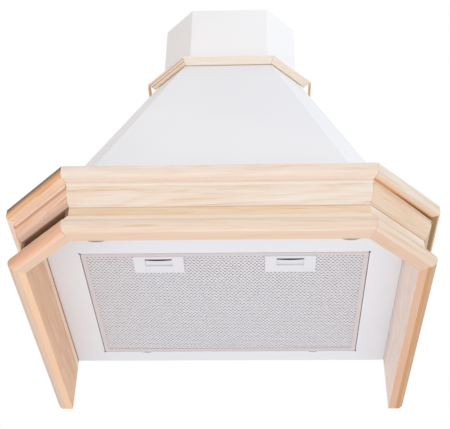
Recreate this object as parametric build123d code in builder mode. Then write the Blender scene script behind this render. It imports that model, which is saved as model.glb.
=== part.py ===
"""Wall range hood with a mitred wooden frame, a cut-corner steel canopy and a short chimney.

Millimetres. X runs to the right, Y into the wall and Z up. The origin is on the wall plane, at the
centre of the four wall holes. The front of the hood faces -Y.
"""
import os
from math import cos, radians, sin, sqrt

from build123d import *

os.makedirs("parts", exist_ok=True)

# ---------------------------------------------------------------- driving dimensions
# plan of the wooden frame, taken on the inner faces of its boards
frame_half_width = 279.5
frame_depth = 503.8
frame_cut = 76.4            # how much each front corner is cut off, along X and Y
# plan of the chimney, taken on its outer faces
chimney_half_width = 130.8
chimney_depth = 272.3
chimney_cut = 55.5
canopy_set_in = 3.0         # the canopy's foot stands this far inside the frame at each side

# levels, all counted from the underside of the white panel
wall_hole_level = 190.0     # centre of the wall holes
frame_hang = 97.4           # the frame hangs this far below the panel
frame_rise = 3.0            # and stands this far above it
junction_level = 507.0      # canopy meets chimney
chimney_height = 147.2
panel_z = -wall_hole_level
frame_low = panel_z - frame_hang
canopy_low = panel_z + frame_rise
canopy_high = panel_z + junction_level
chimney_high = canopy_high + chimney_height

# materials and fits
sheet = 1.0                 # steel sheet of canopy, chimney and panel
rail_thickness = 12.0       # rails and side boards
seat_gap = 0.3              # clearance of a piece that rests against another
slip = 0.05                 # radial clearance of pins, shafts and screws

# cornice, crown moulding and base moulding, heights counted from the panel, down is negative
cornice_reach = 41.9        # nose of the cornice, out from the inner face
cornice_side_inset = 3.9    # it reaches this much less far at the two sides
cornice_low = -16.1
cornice_nose_radius = 6.0
cornice_lip_radius = 3.0
crown_reach = 27.0
crown_low = -49.5
crown_foot = 1.4            # small fillet step where the crown meets the neck
crown_fillet = 4.5          # upright fillet under the cornice
crown_step = 1.8            # the sweep starts this far behind the fillet
crown_belly = 5.2           # mid-point of the sweep, behind the fillet's face
base_reach = 26.0
base_high = -63.5
base_nose_level = -84.0
base_foot = 18.0
base_shoulder_rise = 11.5   # top of the shoulder, above the nose
base_shoulder_set = 5.0     # and behind it
base_shoulder_bulge = (1.3, 6.0)
base_nose_bulge = (2.0, 8.5)
base_lip = 1.5              # thickness at the top edge

# glue blocks behind the front mitres
block_leg = 22.0
block_low = -46.0
block_high = -4.0

# wedge-shaped shadow gap under the right cornice, deepest at the mitre
shadow_gap_height = 3.8
shadow_gap_start = 0.3      # as a share of the right crown's length
shadow_gap_end = 130.0      # behind the mitre, along the side

# control slot in the left canted rail
slot_low = -63.4
slot_high = -49.6
slot_end_wall = 3.0

# chimney trim, heights counted from the panel, reach counted from the chimney's face
trim_low = 478.5
trim_nose_level = 487.0
trim_face_high = 491.0
trim_top = 512.0
trim_reach = 28.5
trim_foot_lip = 1.5         # flat strip at the foot, before the reeds
trim_reeds = 3
trim_reed_bulge = 0.6
trim_nose_height = 1.5
trim_cove = 3.5             # the face leans back this much above the nose
trim_top_lip = 2.0
trim_return_step = 1.0      # side returns start this much above the foot
trim_return_thickness = 4.0
trim_block_length = 28.0

# canopy flanges and screws
canopy_flange = 12.0
canopy_top_flange = 12.0
chimney_flange = 15.0
screw_radius = 1.75
screw_head_radius = 3.5
screw_head_height = 2.0
screw_head_round = 1.0
screw_length = 12.0
chimney_screw_length = 6.0
frame_screw_inset = 6.0     # from the inner face of the frame
wall_hole_spacing_x = 220.0
wall_hole_spacing_z = 240.0
wall_hole_radius = 4.0
back_flange_depth = 12.0
chimney_hole_spacing = 100.0
chimney_hole_radius = 2.75
bracket_height = 30.0
bracket_sheet = 1.5

# underside panel
panel_lip_inset = 7.0
panel_lip_height = 10.0

# grease filter
filter_width = 451.0
filter_length = 302.4
filter_height = 9.0
filter_front = -336.8
filter_rim = 8.0
filter_wall = 1.0
filter_corner = 3.0
opening_relief = 1.8        # radius of the round corners punched in the panel's opening
filter_side_gap = 1.2
filter_front_gap = 0.8
filter_rear_gap = 1.4
face_sheet = 1.0
hinge_pin_radius = 1.5
hinge_pin_length = 24.0
hinge_tab_width = 12.0
hinge_notch_width = 13.2
hinge_notch_depth = 3.9
hinge_setback = 2.5         # hinge axis behind the rear edge of the panel's opening
hinge_x = 150.0

# filter latches
latch_x = 104.0
latch_width = 80.0
latch_length = 42.0
latch_proud = 1.0
latch_body_width = 70.0
latch_corner = 1.0
latch_wall = 1.5
finger_width = 43.0
finger_length = 19.0
finger_setback = 6.0
tab_sag = 1.8               # depth of the curve in the tab's front edge
slider_thickness = 2.0
slider_travel = 6.0
bolt_width = 6.0
bolt_x = 26.0
bolt_reach = 5.0
latch_spring_radius = 1.0
latch_spring_length = 5.0

# lamps
lamp_x = 195.0
lamp_y = -396.1
lamp_radius = 26.0
lamp_can_radius = 22.0
lamp_can_height = 25.0
lamp_bezel_thickness = 1.5
lamp_lens_radius = 20.0
lamp_wall = 1.2

# controls
button_count = 4
button_pitch = 22.0
button_length = 16.0
button_height = 8.0
button_proud = 3.0
button_travel = 2.5
button_gap = 0.3
button_round = 0.8
button_shoulder = 1.5
control_face = 5.0          # bezel face, out from the inner face of the rail
control_depth = 18.0        # switch box behind the rail
control_wall = 1.5
control_box_margin = 5.0    # switch box above and below the buttons
control_flange = 3.0        # flange behind the rail, beyond the slot

# blower
blower_y = -165.0
blower_level = 165.0        # shaft above the panel
volute_width = 130.0
volute_wall = 2.5
volute_small = 86.0
volute_large = 115.0
tongue_angle = 95.0
outlet_rise = 150.0         # outlet face above the shaft
inlet_radius = 62.0
impeller_radius = 80.0
impeller_width = 100.0
blade_count = 30
blade_length = 16.0
blade_thickness = 1.4
blade_tilt = 30.0
hub_radius = 12.0
hub_disc = 2.0
ring_thickness = 2.0        # ring that ties the blades at each end
blade_inset = 0.5           # blade tips inside the ring's edge
shaft_radius = 4.0
motor_radius = 40.0
motor_left = -78.0
motor_right = -18.0
motor_bore = 25.0
motor_round = 4.0
shaft_end_gap = 1.0         # between the shaft and the bottom of the motor's bore
shaft_nose = 2.0            # shaft beyond the hub
arm_count = 3
arm_width = 10.0
band_thickness = 3.0
band_length = 10.0
arm_ring_inset = 3.0        # motor bracket's ring, inside the inlet
arm_ring_outset = 9.0       # and outside it

# bracket between blower and back plate
carrier_half = 42.0
carrier_foot = 16.0
carrier_margin = 20.0       # above the shaft and below the outlet face

# outlet collar and backdraft flaps
collar_radius = 59.5
collar_wall = 2.0
collar_height = 47.5
collar_plate = 2.5
flap_pin_radius = 1.5
flap_pin_level = 20.0       # above the outlet face
flap_pin_offset = 4.0
flap_pin_seat = 0.2         # pins above the ledge
ledge_width = 3.0
flap_radius = 56.5
flap_thickness = 1.5
knuckle_radius = 3.0
knuckle_length = 100.0

# terminal box
terminal_width = 80.0
terminal_height = 65.0
terminal_depth = 38.0
terminal_gap = 39.5        # beside the canopy's side, at the box's top
terminal_level = 32.0
gland_radius = 9.0
gland_bore = 4.0
gland_height = 16.0
terminal_wall = 2.0
terminal_corner = 4.0

# ---------------------------------------------------------------- shared geometry
FAR = 400.0                 # longer than any run, used to overshoot cuts


def cut_corner_plan(half_width, depth, cut, out=0.0, back=0.0):
    """Six plan points of a rectangle with cut front corners, moved outwards by `out`."""
    width = half_width + out
    front = depth + out
    corner = cut + out * (2 - sqrt(2))
    left = [(-width, back), (-width, corner - front), (corner - width, -front)]
    return left + [(-x, y) for x, y in reversed(left)]


def frame_plan(out=0.0, back=0.0):
    return cut_corner_plan(frame_half_width, frame_depth, frame_cut, out, back)


def cornice_plan(out=0.0, back=0.0):
    """The frame's plan, drawn in at the sides with its canted faces left where they are."""
    return cut_corner_plan(frame_half_width - cornice_side_inset, frame_depth,
                           frame_cut - cornice_side_inset, out, back)


def chimney_plan(out=0.0, back=0.0):
    return cut_corner_plan(chimney_half_width, chimney_depth, chimney_cut, out, back)


canopy_rise = canopy_high - canopy_low
canopy_half_width = frame_half_width - canopy_set_in
canopy_cut = frame_cut - canopy_set_in


def canopy_plan(z, inset=0.0, back=0.0):
    """Plan of the canopy's outer faces at height z, which run straight from foot to chimney."""
    share = (z - canopy_low) / canopy_rise
    half_width = canopy_half_width + share * (chimney_half_width - canopy_half_width)
    depth = frame_depth + share * (chimney_depth - frame_depth)
    cut = canopy_cut + share * (chimney_cut - canopy_cut)
    return cut_corner_plan(half_width, depth, cut, -inset, back)


LEFT_SIDE, LEFT_CANT, FRONT, RIGHT_CANT, RIGHT_SIDE = range(5)


def run_plane(plan, run):
    """Section plane across one run of the plan: local X points outwards and local Y up."""
    (ax, ay), (bx, by) = plan()[run:run + 2]
    length = sqrt((bx - ax) ** 2 + (by - ay) ** 2)
    outward = ((by - ay) / length, (ax - bx) / length, 0)
    middle = ((ax + bx) / 2, (ay + by) / 2, panel_z)
    return Plane(origin=middle, x_dir=outward, z_dir=(outward[1], -outward[0], 0))


def run_length(plan, run):
    (ax, ay), (bx, by) = plan()[run:run + 2]
    return sqrt((bx - ax) ** 2 + (by - ay) ** 2)


def mitre_wedge(plan, run):
    """Plan area that belongs to one run, bounded by the mitre lines at its two ends."""
    inner = plan()
    outer = plan(FAR / 4)
    return [inner[run], inner[run + 1], outer[run + 1], outer[run]]


def between_mitres(plan, run):
    """Upright block over one run's plan area, which a moulding is cut back to."""
    with BuildPart() as block:
        with BuildSketch(Plane.XY.offset(-FAR)):
            Polygon(*mitre_wedge(plan, run), align=None)
        extrude(amount=3 * FAR)
    return block.part


def mitred_length(plan, run, profile):
    """A profile run along one side of the plan, mitred at both ends."""
    with BuildPart() as length:
        with BuildSketch(run_plane(plan, run)):
            add(profile)
        extrude(amount=FAR, both=True)
        add(between_mitres(plan, run), mode=Mode.INTERSECT)
    return length.part


def save(part, name):
    part.label = name
    export_step(part, f"parts/{name}.step")


# ---------------------------------------------------------------- screw positions
frame_screw_y = [-40.0, -210.0, -380.0]
frame_screw_front_x = [-150.0, -50.0, 50.0, 150.0]
side_screw_x = frame_half_width + frame_screw_inset
cant_screw = frame_half_width + frame_depth - frame_cut + frame_screw_inset * sqrt(2)
frame_screw_points = (
    [(side * side_screw_x, y) for side in (-1, 1) for y in frame_screw_y]
    + [(x, -frame_depth - frame_screw_inset) for x in frame_screw_front_x]
    + [(side * (frame_half_width - frame_cut / 2 + frame_screw_inset / sqrt(2)),
        frame_half_width - frame_cut / 2 + frame_screw_inset / sqrt(2) - cant_screw)
       for side in (-1, 1)]
)
flange_top = canopy_low + sheet


def frame_screw_holes():
    """Pilot holes for the screws that hold the canopy's flange down on the frame."""
    with BuildPart() as holes:
        with BuildSketch(Plane.XY.offset(flange_top)):
            with Locations(*frame_screw_points):
                Circle(screw_radius + slip)
        extrude(amount=-(screw_length + 2 * seat_gap))
    return holes.part


# ---------------------------------------------------------------- wooden frame: profiles
def cornice_profile():
    """Flat board with a bullnose front edge."""
    nose_high = frame_rise - cornice_lip_radius
    nose_low = cornice_low + cornice_nose_radius
    lip_turn = cornice_lip_radius * (1 - 1 / sqrt(2))
    nose_turn = cornice_nose_radius * (1 - 1 / sqrt(2))
    with BuildSketch() as profile:
        with BuildLine():
            Line((0, cornice_low), (0, frame_rise))
            Line((0, frame_rise), (cornice_reach - cornice_lip_radius, frame_rise))
            ThreePointArc((cornice_reach - cornice_lip_radius, frame_rise),
                          (cornice_reach - lip_turn, frame_rise - lip_turn),
                          (cornice_reach, nose_high))
            Line((cornice_reach, nose_high), (cornice_reach, nose_low))
            ThreePointArc((cornice_reach, nose_low),
                          (cornice_reach - nose_turn, cornice_low + nose_turn),
                          (cornice_reach - cornice_nose_radius, cornice_low))
            Line((cornice_reach - cornice_nose_radius, cornice_low), (0, cornice_low))
        make_face()
    return profile.sketch


def crown_profile():
    """Sloping moulding: a short upright fillet under the cornice, then one flat convex sweep."""
    fillet_low = cornice_low - crown_fillet
    sweep_top = (crown_reach - crown_step, fillet_low)
    sweep_middle = (crown_reach - crown_belly, (fillet_low + crown_low) / 2)
    foot = (rail_thickness + crown_foot, crown_low)
    with BuildSketch() as profile:
        with BuildLine():
            Polyline((rail_thickness, crown_low), (rail_thickness, cornice_low),
                     (crown_reach, cornice_low), (crown_reach, fillet_low), sweep_top)
            ThreePointArc(sweep_top, sweep_middle, foot)
            Line(foot, (rail_thickness, crown_low))
        make_face()
    return profile.sketch


def base_profile():
    """Ovolo: a sloping shoulder below the neck, a round nose and a flat foot."""
    shoulder = (base_reach - base_shoulder_set, base_nose_level + base_shoulder_rise)
    upper_bulge = (base_reach - base_shoulder_bulge[0], base_nose_level + base_shoulder_bulge[1])
    nose = (base_reach, base_nose_level)
    lower_bulge = (base_reach - base_nose_bulge[0], base_nose_level - base_nose_bulge[1])
    foot = (base_foot, -frame_hang)
    with BuildSketch() as profile:
        with BuildLine():
            Polyline((rail_thickness, -frame_hang), (rail_thickness, base_high),
                     (rail_thickness + base_lip, base_high), shoulder)
            ThreePointArc(shoulder, upper_bulge, nose)
            ThreePointArc(nose, lower_bulge, foot)
            Line(foot, (rail_thickness, -frame_hang))
        make_face()
    return profile.sketch


def block_profile(inner, outer, low, high):
    """Rectangle between two reaches and two heights."""
    with BuildSketch() as profile:
        Polygon((inner, low), (outer, low), (outer, high), (inner, high), align=None)
    return profile.sketch


# ---------------------------------------------------------------- wooden frame: pieces
SIDES = {"left": LEFT_CANT, "front": FRONT, "right": RIGHT_CANT}
RETURNS = {"left": LEFT_SIDE, "right": RIGHT_SIDE}


def slot_span(run):
    """Length of the control slot, which stops one end wall short of both mitres."""
    return run_length(frame_plan, run) - 2 * slot_end_wall


def crown_moulding(run):
    """One run of the crown; beside the right mitre its top is planed down for the shadow gap."""
    section = run_plane(frame_plan, run)
    along = Plane(origin=section.origin, x_dir=-section.z_dir, z_dir=section.x_dir)
    half = run_length(frame_plan, run) / 2
    mitre = half + crown_reach * (sqrt(2) - 1)
    wedges = {RIGHT_CANT: (2 * half * shadow_gap_start - half, mitre),
              RIGHT_SIDE: (shadow_gap_end - mitre, -mitre)}
    with BuildPart() as crown:
        add(mitred_length(frame_plan, run, crown_profile()))
        if run in wedges:
            nothing, deepest = wedges[run]
            with BuildSketch(along):
                Polygon((nothing, cornice_low), (deepest, cornice_low),
                        (deepest, cornice_low - shadow_gap_height), align=None)
            extrude(amount=FAR, both=True, mode=Mode.SUBTRACT)
    return crown.part


for place, run in SIDES.items():
    with BuildPart() as cornice:
        add(mitred_length(cornice_plan, run, cornice_profile()))
        add(frame_screw_holes(), mode=Mode.SUBTRACT)
    save(cornice.part, f"cornice_{place}")

    save(crown_moulding(run), f"crown_moulding_{place}")

    with BuildPart() as rail:
        add(mitred_length(frame_plan, run,
                          block_profile(0, rail_thickness, -frame_hang, cornice_low)))
        if place == "left":
            with BuildSketch(run_plane(frame_plan, run)):
                add(block_profile(-sheet, rail_thickness + sheet, slot_low, slot_high))
            extrude(amount=slot_span(run) / 2, both=True, mode=Mode.SUBTRACT)
    save(rail.part, f"rail_{place}")

    save(mitred_length(frame_plan, run, base_profile()), f"base_moulding_{place}")

for place, run in RETURNS.items():
    with BuildPart() as cornice_return:
        add(mitred_length(cornice_plan, run, cornice_profile()))
        # the part that would stand inside the frame is cut off
        with BuildSketch(Plane.XY.offset(canopy_low)):
            Polygon(*frame_plan(back=sheet), align=None)
        extrude(amount=-FAR, mode=Mode.SUBTRACT)
        add(frame_screw_holes(), mode=Mode.SUBTRACT)
    save(cornice_return.part, f"cornice_return_{place}")

    save(crown_moulding(run), f"crown_return_{place}")
    save(mitred_length(frame_plan, run,
                       block_profile(0, rail_thickness, -frame_hang, cornice_low)),
         f"side_board_{place}")
    save(mitred_length(frame_plan, run, base_profile()), f"base_return_{place}")

# glue blocks behind the two front mitres, above the sight line from below
with BuildPart() as corner_blocks:
    with BuildSketch(Plane.XY.offset(panel_z + block_low)):
        for side in (-1, 1):
            corner = (side * (frame_half_width - frame_cut), -frame_depth)
            along_front = (corner[0] - side * block_leg, corner[1])
            along_cant = (corner[0] + side * block_leg / sqrt(2),
                          corner[1] + block_leg / sqrt(2))
            Polygon(corner, along_front, along_cant, align=None)
    extrude(amount=block_high - block_low)
save(corner_blocks.part, "corner_blocks")

# ---------------------------------------------------------------- wooden trim round the chimney
slope_front = (frame_depth - chimney_depth) / canopy_rise
frame_cant_line = (frame_half_width + frame_depth - frame_cut) / sqrt(2)
chimney_cant_line = (chimney_half_width + chimney_depth - chimney_cut) / sqrt(2)
slope_cant = (frame_cant_line - chimney_cant_line) / canopy_rise
slope_side = (canopy_half_width - chimney_half_width) / canopy_rise


def trim_profile(slope):
    """Wedge-shaped crown: its back lies along the canopy and its foot and face are reeded."""
    back = (junction_level - trim_low) * slope + seat_gap
    reeds_from = back + trim_foot_lip
    reed = (trim_reach - reeds_from) / trim_reeds
    rise = (trim_nose_level - trim_low) / trim_reeds
    with BuildSketch() as profile:
        with BuildLine():
            Polyline((seat_gap, trim_top), (seat_gap, junction_level), (back, trim_low),
                     (reeds_from, trim_low))
            for step in range(trim_reeds):
                start = (reeds_from + step * reed, trim_low + step * rise)
                end = (start[0] + reed, start[1] + rise)
                bulge = ((start[0] + end[0]) / 2 + trim_reed_bulge,
                         (start[1] + end[1]) / 2 - trim_reed_bulge)
                ThreePointArc(start, bulge, end)
            Polyline((trim_reach, trim_nose_level),
                     (trim_reach, trim_nose_level + trim_nose_height),
                     (trim_reach - trim_cove, trim_face_high),
                     (seat_gap + trim_top_lip, trim_top), (seat_gap, trim_top))
        make_face()
    return profile.sketch


for place, run in SIDES.items():
    with BuildPart() as trim:
        add(mitred_length(chimney_plan, run,
                          trim_profile(slope_front if place == "front" else slope_cant)))
    save(trim.part, f"chimney_trim_{place}")

return_low = trim_low + trim_return_step
block_in = (junction_level - return_low) * slope_side + seat_gap
block_out = trim_reach - trim_return_thickness
with BuildPart() as trim_returns:
    for run, side in ((LEFT_SIDE, -1), (RIGHT_SIDE, 1)):
        add(mitred_length(chimney_plan, run,
                          block_profile(block_out, trim_reach, return_low, trim_face_high)))
        # spacer block at the wall end, which stands on the canopy's side
        with BuildSketch(Plane.XY.offset(panel_z + return_low)):
            with Locations((side * (chimney_half_width + (block_in + block_out) / 2),
                            -trim_block_length / 2)):
                Rectangle(block_out - block_in, trim_block_length)
        extrude(amount=trim_face_high - return_low)
save(trim_returns.part, "trim_returns")

# ---------------------------------------------------------------- steel canopy and chimney
with BuildPart() as canopy:
    with BuildSketch(Plane.XY.offset(canopy_low)):
        Polygon(*canopy_plan(canopy_low), align=None)
    with BuildSketch(Plane.XY.offset(canopy_high)):
        Polygon(*canopy_plan(canopy_high), align=None)
    loft(ruled=True)
    with BuildSketch(Plane.XY.offset(canopy_low)):
        Polygon(*frame_plan(canopy_flange), align=None)
    extrude(amount=sheet)
    # hollow, open below and at the back, with an inward flange left at the top
    with BuildSketch(Plane.XY.offset(canopy_low)):
        Polygon(*canopy_plan(canopy_low, sheet, back=1), align=None)
    with BuildSketch(Plane.XY.offset(canopy_high - sheet)):
        Polygon(*canopy_plan(canopy_high - sheet, sheet, back=1), align=None)
    loft(ruled=True, mode=Mode.SUBTRACT)
    with BuildSketch(Plane.XY.offset(canopy_high)):
        Polygon(*canopy_plan(canopy_high, canopy_top_flange, back=1), align=None)
    extrude(amount=-2 * sheet, mode=Mode.SUBTRACT)
    with BuildSketch(Plane.XY.offset(flange_top)):
        with Locations(*frame_screw_points):
            Circle(screw_radius + slip)
    extrude(amount=-sheet, mode=Mode.SUBTRACT)
save(canopy.part, "canopy_shell")

bracket_z = chimney_high - bracket_height
chimney_screw_y = -bracket_height / 2
chimney_screw_z = bracket_z + bracket_height / 2
with BuildPart() as chimney:
    with BuildSketch(Plane.XY.offset(canopy_high)):
        Polygon(*chimney_plan(), align=None)
        Polygon(*chimney_plan(-sheet, back=-sheet), align=None, mode=Mode.SUBTRACT)
        Rectangle(2 * (chimney_half_width - chimney_flange), 4 * sheet, mode=Mode.SUBTRACT)
    extrude(amount=chimney_height)
    with BuildSketch(Plane.YZ):
        with Locations((chimney_screw_y, chimney_screw_z)):
            Circle(screw_radius + slip)
    extrude(amount=FAR, both=True, mode=Mode.SUBTRACT)
save(chimney.part, "chimney_cover")

arm_face = chimney_half_width - sheet - seat_gap
with BuildPart() as bracket:
    with BuildSketch(Plane.XY.offset(bracket_z)):
        web = chimney_half_width - chimney_flange - seat_gap
        Rectangle(2 * web, bracket_sheet, align=(Align.CENTER, Align.MAX))
        for side in (-1, 1):
            with Locations((side * (web - bracket_sheet), -bracket_sheet)):
                Rectangle(arm_face - web + bracket_sheet, bracket_sheet,
                          align=(Align.MIN if side > 0 else Align.MAX, Align.MAX))
            with Locations((side * arm_face, -bracket_sheet)):
                Rectangle(bracket_sheet, 2 * -chimney_screw_y - bracket_sheet,
                          align=(Align.MAX if side > 0 else Align.MIN, Align.MAX))
    extrude(amount=bracket_height)
    with BuildSketch(Plane.YZ):
        with Locations((chimney_screw_y, chimney_screw_z)):
            Circle(screw_radius + slip)
    extrude(amount=FAR, both=True, mode=Mode.SUBTRACT)
    with BuildSketch(Plane.XZ):
        with Locations((-chimney_hole_spacing / 2, chimney_screw_z),
                       (chimney_hole_spacing / 2, chimney_screw_z)):
            Circle(chimney_hole_radius)
    extrude(amount=2 * bracket_sheet, mode=Mode.SUBTRACT)
save(bracket.part, "chimney_bracket")

# back plate: a shallow pan that fits inside the canopy, with the four wall holes; it is lofted
# past the wall plane and cut flat there
back_low = canopy_low + sheet
back_high = canopy_high - sheet - seat_gap
back_fit = sheet + seat_gap
wall_holes = [(x, z) for x in (-wall_hole_spacing_x / 2, wall_hole_spacing_x / 2)
              for z in (-wall_hole_spacing_z / 2, wall_hole_spacing_z / 2)]
with BuildPart() as back_plate:
    with BuildSketch(Plane.XY.offset(back_low)):
        Polygon(*canopy_plan(back_low, back_fit, back=sheet), align=None)
    with BuildSketch(Plane.XY.offset(back_high)):
        Polygon(*canopy_plan(back_high, back_fit, back=sheet), align=None)
    loft(ruled=True)
    with BuildSketch(Plane.XY.offset(back_low)):
        Polygon(*canopy_plan(back_low, back_fit + sheet, back=-sheet), align=None)
    with BuildSketch(Plane.XY.offset(back_high)):
        Polygon(*canopy_plan(back_high, back_fit + sheet, back=-sheet), align=None)
    loft(ruled=True, mode=Mode.SUBTRACT)
    with BuildSketch(Plane.XY.offset(back_low)):
        with Locations((0, -back_flange_depth)):
            Rectangle(2 * FAR, 2 * FAR, align=(Align.CENTER, Align.MAX))
        Rectangle(2 * FAR, 2 * FAR, align=(Align.CENTER, Align.MIN))
    extrude(amount=2 * FAR, mode=Mode.SUBTRACT)
    with BuildSketch(Plane.XZ):
        with Locations(*wall_holes):
            Circle(wall_hole_radius)
    extrude(amount=2 * sheet, mode=Mode.SUBTRACT)
save(back_plate.part, "back_plate")

# ---------------------------------------------------------------- underside panel
opening_rear = filter_front + filter_length + filter_rear_gap
opening_front = filter_front - filter_front_gap
opening_side = filter_width / 2 + filter_side_gap
lamp_points = [(-lamp_x, lamp_y), (lamp_x, lamp_y)]
with BuildPart() as panel:
    with BuildSketch(Plane.XY.offset(panel_z)):
        Polygon(*frame_plan(-seat_gap), align=None)
    extrude(amount=sheet)
    with BuildSketch(Plane.XY.offset(panel_z + sheet)):
        Polygon(*frame_plan(-panel_lip_inset, back=-2 * back_flange_depth), align=None)
        Polygon(*frame_plan(-panel_lip_inset - sheet, back=FAR), align=None, mode=Mode.SUBTRACT)
    extrude(amount=panel_lip_height)
    with BuildSketch(Plane.XY.offset(panel_z)):
        with Locations((0, (opening_front + opening_rear) / 2)):
            Rectangle(2 * opening_side, opening_rear - opening_front)
        with Locations(*[(x, y) for x in (-opening_side, opening_side)
                         for y in (opening_front, opening_rear)]):
            Circle(opening_relief)
        with Locations((-hinge_x, opening_rear), (hinge_x, opening_rear)):
            Rectangle(hinge_notch_width, 2 * hinge_notch_depth)
        with Locations(*lamp_points):
            Circle(lamp_can_radius + seat_gap)
    extrude(amount=sheet, mode=Mode.SUBTRACT)
save(panel.part, "underside_panel")

# ---------------------------------------------------------------- lamps
def lamp_discs(level, radius):
    """One disc at each lamp, drawn at a height counted from the panel's underside."""
    with BuildSketch(Plane.XY.offset(panel_z + level)) as discs:
        with Locations(*lamp_points):
            Circle(radius)
    return discs.sketch


with BuildPart() as lamp_housings:
    extrude(lamp_discs(0, lamp_radius), amount=-lamp_bezel_thickness)
    extrude(lamp_discs(0, lamp_can_radius), amount=lamp_can_height)
    extrude(lamp_discs(-lamp_bezel_thickness, lamp_lens_radius - lamp_wall),
            amount=lamp_can_height, mode=Mode.SUBTRACT)
    extrude(lamp_discs(-lamp_bezel_thickness, lamp_lens_radius + seat_gap),
            amount=3 * lamp_bezel_thickness, mode=Mode.SUBTRACT)
save(lamp_housings.part, "lamp_housings")

with BuildPart() as lamp_lenses:
    extrude(lamp_discs(-lamp_bezel_thickness / 2, lamp_lens_radius),
            amount=2 * lamp_bezel_thickness)
    fillet(lamp_lenses.edges().group_by(Axis.Z)[0], radius=lamp_bezel_thickness / 2)
save(lamp_lenses.part, "lamp_lenses")

# ---------------------------------------------------------------- grease filter
filter_rear = filter_front + filter_length
filter_y = (filter_front + filter_rear) / 2
filter_z = panel_z
hinge_y = opening_rear + hinge_setback
hinge_z = panel_z + sheet + hinge_pin_radius + slip
bolt_low = panel_z + sheet + seat_gap
latch_front = filter_front + filter_rim
latch_y = latch_front + latch_length / 2
latch_points = [(-latch_x, latch_y), (latch_x, latch_y)]
bolt_points = [(side * latch_x + offset, filter_front)
               for side in (-1, 1) for offset in (-bolt_x, bolt_x)]

with BuildPart() as filter_frame:
    with BuildSketch(Plane.XY.offset(filter_z)):
        with Locations((0, filter_y)):
            RectangleRounded(filter_width, filter_length, filter_corner)
            Rectangle(filter_width - 2 * filter_rim, filter_length - 2 * filter_rim,
                      mode=Mode.SUBTRACT)
    extrude(amount=filter_height)
    with BuildSketch(Plane.XY.offset(filter_z + filter_wall)):
        with Locations((0, filter_y)):
            RectangleRounded(filter_width - 2 * filter_wall, filter_length - 2 * filter_wall,
                             filter_corner - filter_wall)
    extrude(amount=filter_height - 2 * filter_wall, mode=Mode.SUBTRACT)
    # passages for the four latch bolts
    with BuildSketch(Plane.XY.offset(bolt_low - seat_gap / 2)):
        with Locations(*bolt_points):
            Rectangle(bolt_width + 2 * seat_gap, 4 * filter_wall)
    extrude(amount=slider_thickness + seat_gap, mode=Mode.SUBTRACT)
    # two tabs at the rear with cross pins that lie on the panel
    with BuildSketch(Plane.XY.offset(hinge_z - hinge_pin_radius / 2)):
        with Locations((-hinge_x, filter_rear), (hinge_x, filter_rear)):
            Rectangle(hinge_tab_width, hinge_y - filter_rear,
                      align=(Align.CENTER, Align.MIN))
    extrude(amount=hinge_pin_radius)
    for side in (-1, 1):
        with BuildSketch(Plane.YZ.offset(side * hinge_x)):
            with Locations((hinge_y, hinge_z)):
                Circle(hinge_pin_radius)
        extrude(amount=hinge_pin_length / 2, both=True)
save(filter_frame.part, "filter_frame")

infill_width = filter_width - 2 * filter_wall - seat_gap
infill_length = filter_length - 2 * filter_wall - seat_gap
face_low = filter_z + filter_wall + slip
back_grille_low = filter_z + filter_height - filter_wall - face_sheet - slip
mesh_low = face_low + face_sheet + slip
body_play = 2 * seat_gap


def filter_layer(low, thickness):
    """One flat layer of the filter, with rectangular cut-outs for the latch bodies."""
    with BuildPart() as layer:
        with BuildSketch(Plane.XY.offset(low)):
            with Locations((0, filter_y)):
                RectangleRounded(infill_width, infill_length, filter_corner - filter_wall)
            with Locations((-latch_x, latch_front), (latch_x, latch_front)):
                Rectangle(latch_body_width + body_play, 2 * (latch_length + seat_gap) - body_play,
                          mode=Mode.SUBTRACT)
        extrude(amount=thickness)
    return layer.part


save(filter_layer(face_low, face_sheet), "filter_face_sheet")
save(filter_layer(mesh_low, back_grille_low - mesh_low - slip), "filter_mesh_pack")
with BuildPart() as back_grille:
    with BuildSketch(Plane.XY.offset(back_grille_low)):
        with Locations((0, filter_y)):
            RectangleRounded(infill_width, infill_length, filter_corner - filter_wall)
    extrude(amount=face_sheet)
save(back_grille.part, "filter_back_grille")

# ---------------------------------------------------------------- filter latches
cavity_half = bolt_x + bolt_width / 2 + seat_gap
cavity_low = bolt_low - seat_gap / 2
cavity_height = slider_thickness + seat_gap
cavity_rear = latch_front + latch_length - latch_wall - 2 * seat_gap
finger_front = latch_front + finger_setback
tab_front = finger_front + slider_travel
tab_rear = cavity_rear - slider_travel - latch_spring_length - seat_gap
body_high = back_grille_low - seat_gap

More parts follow.
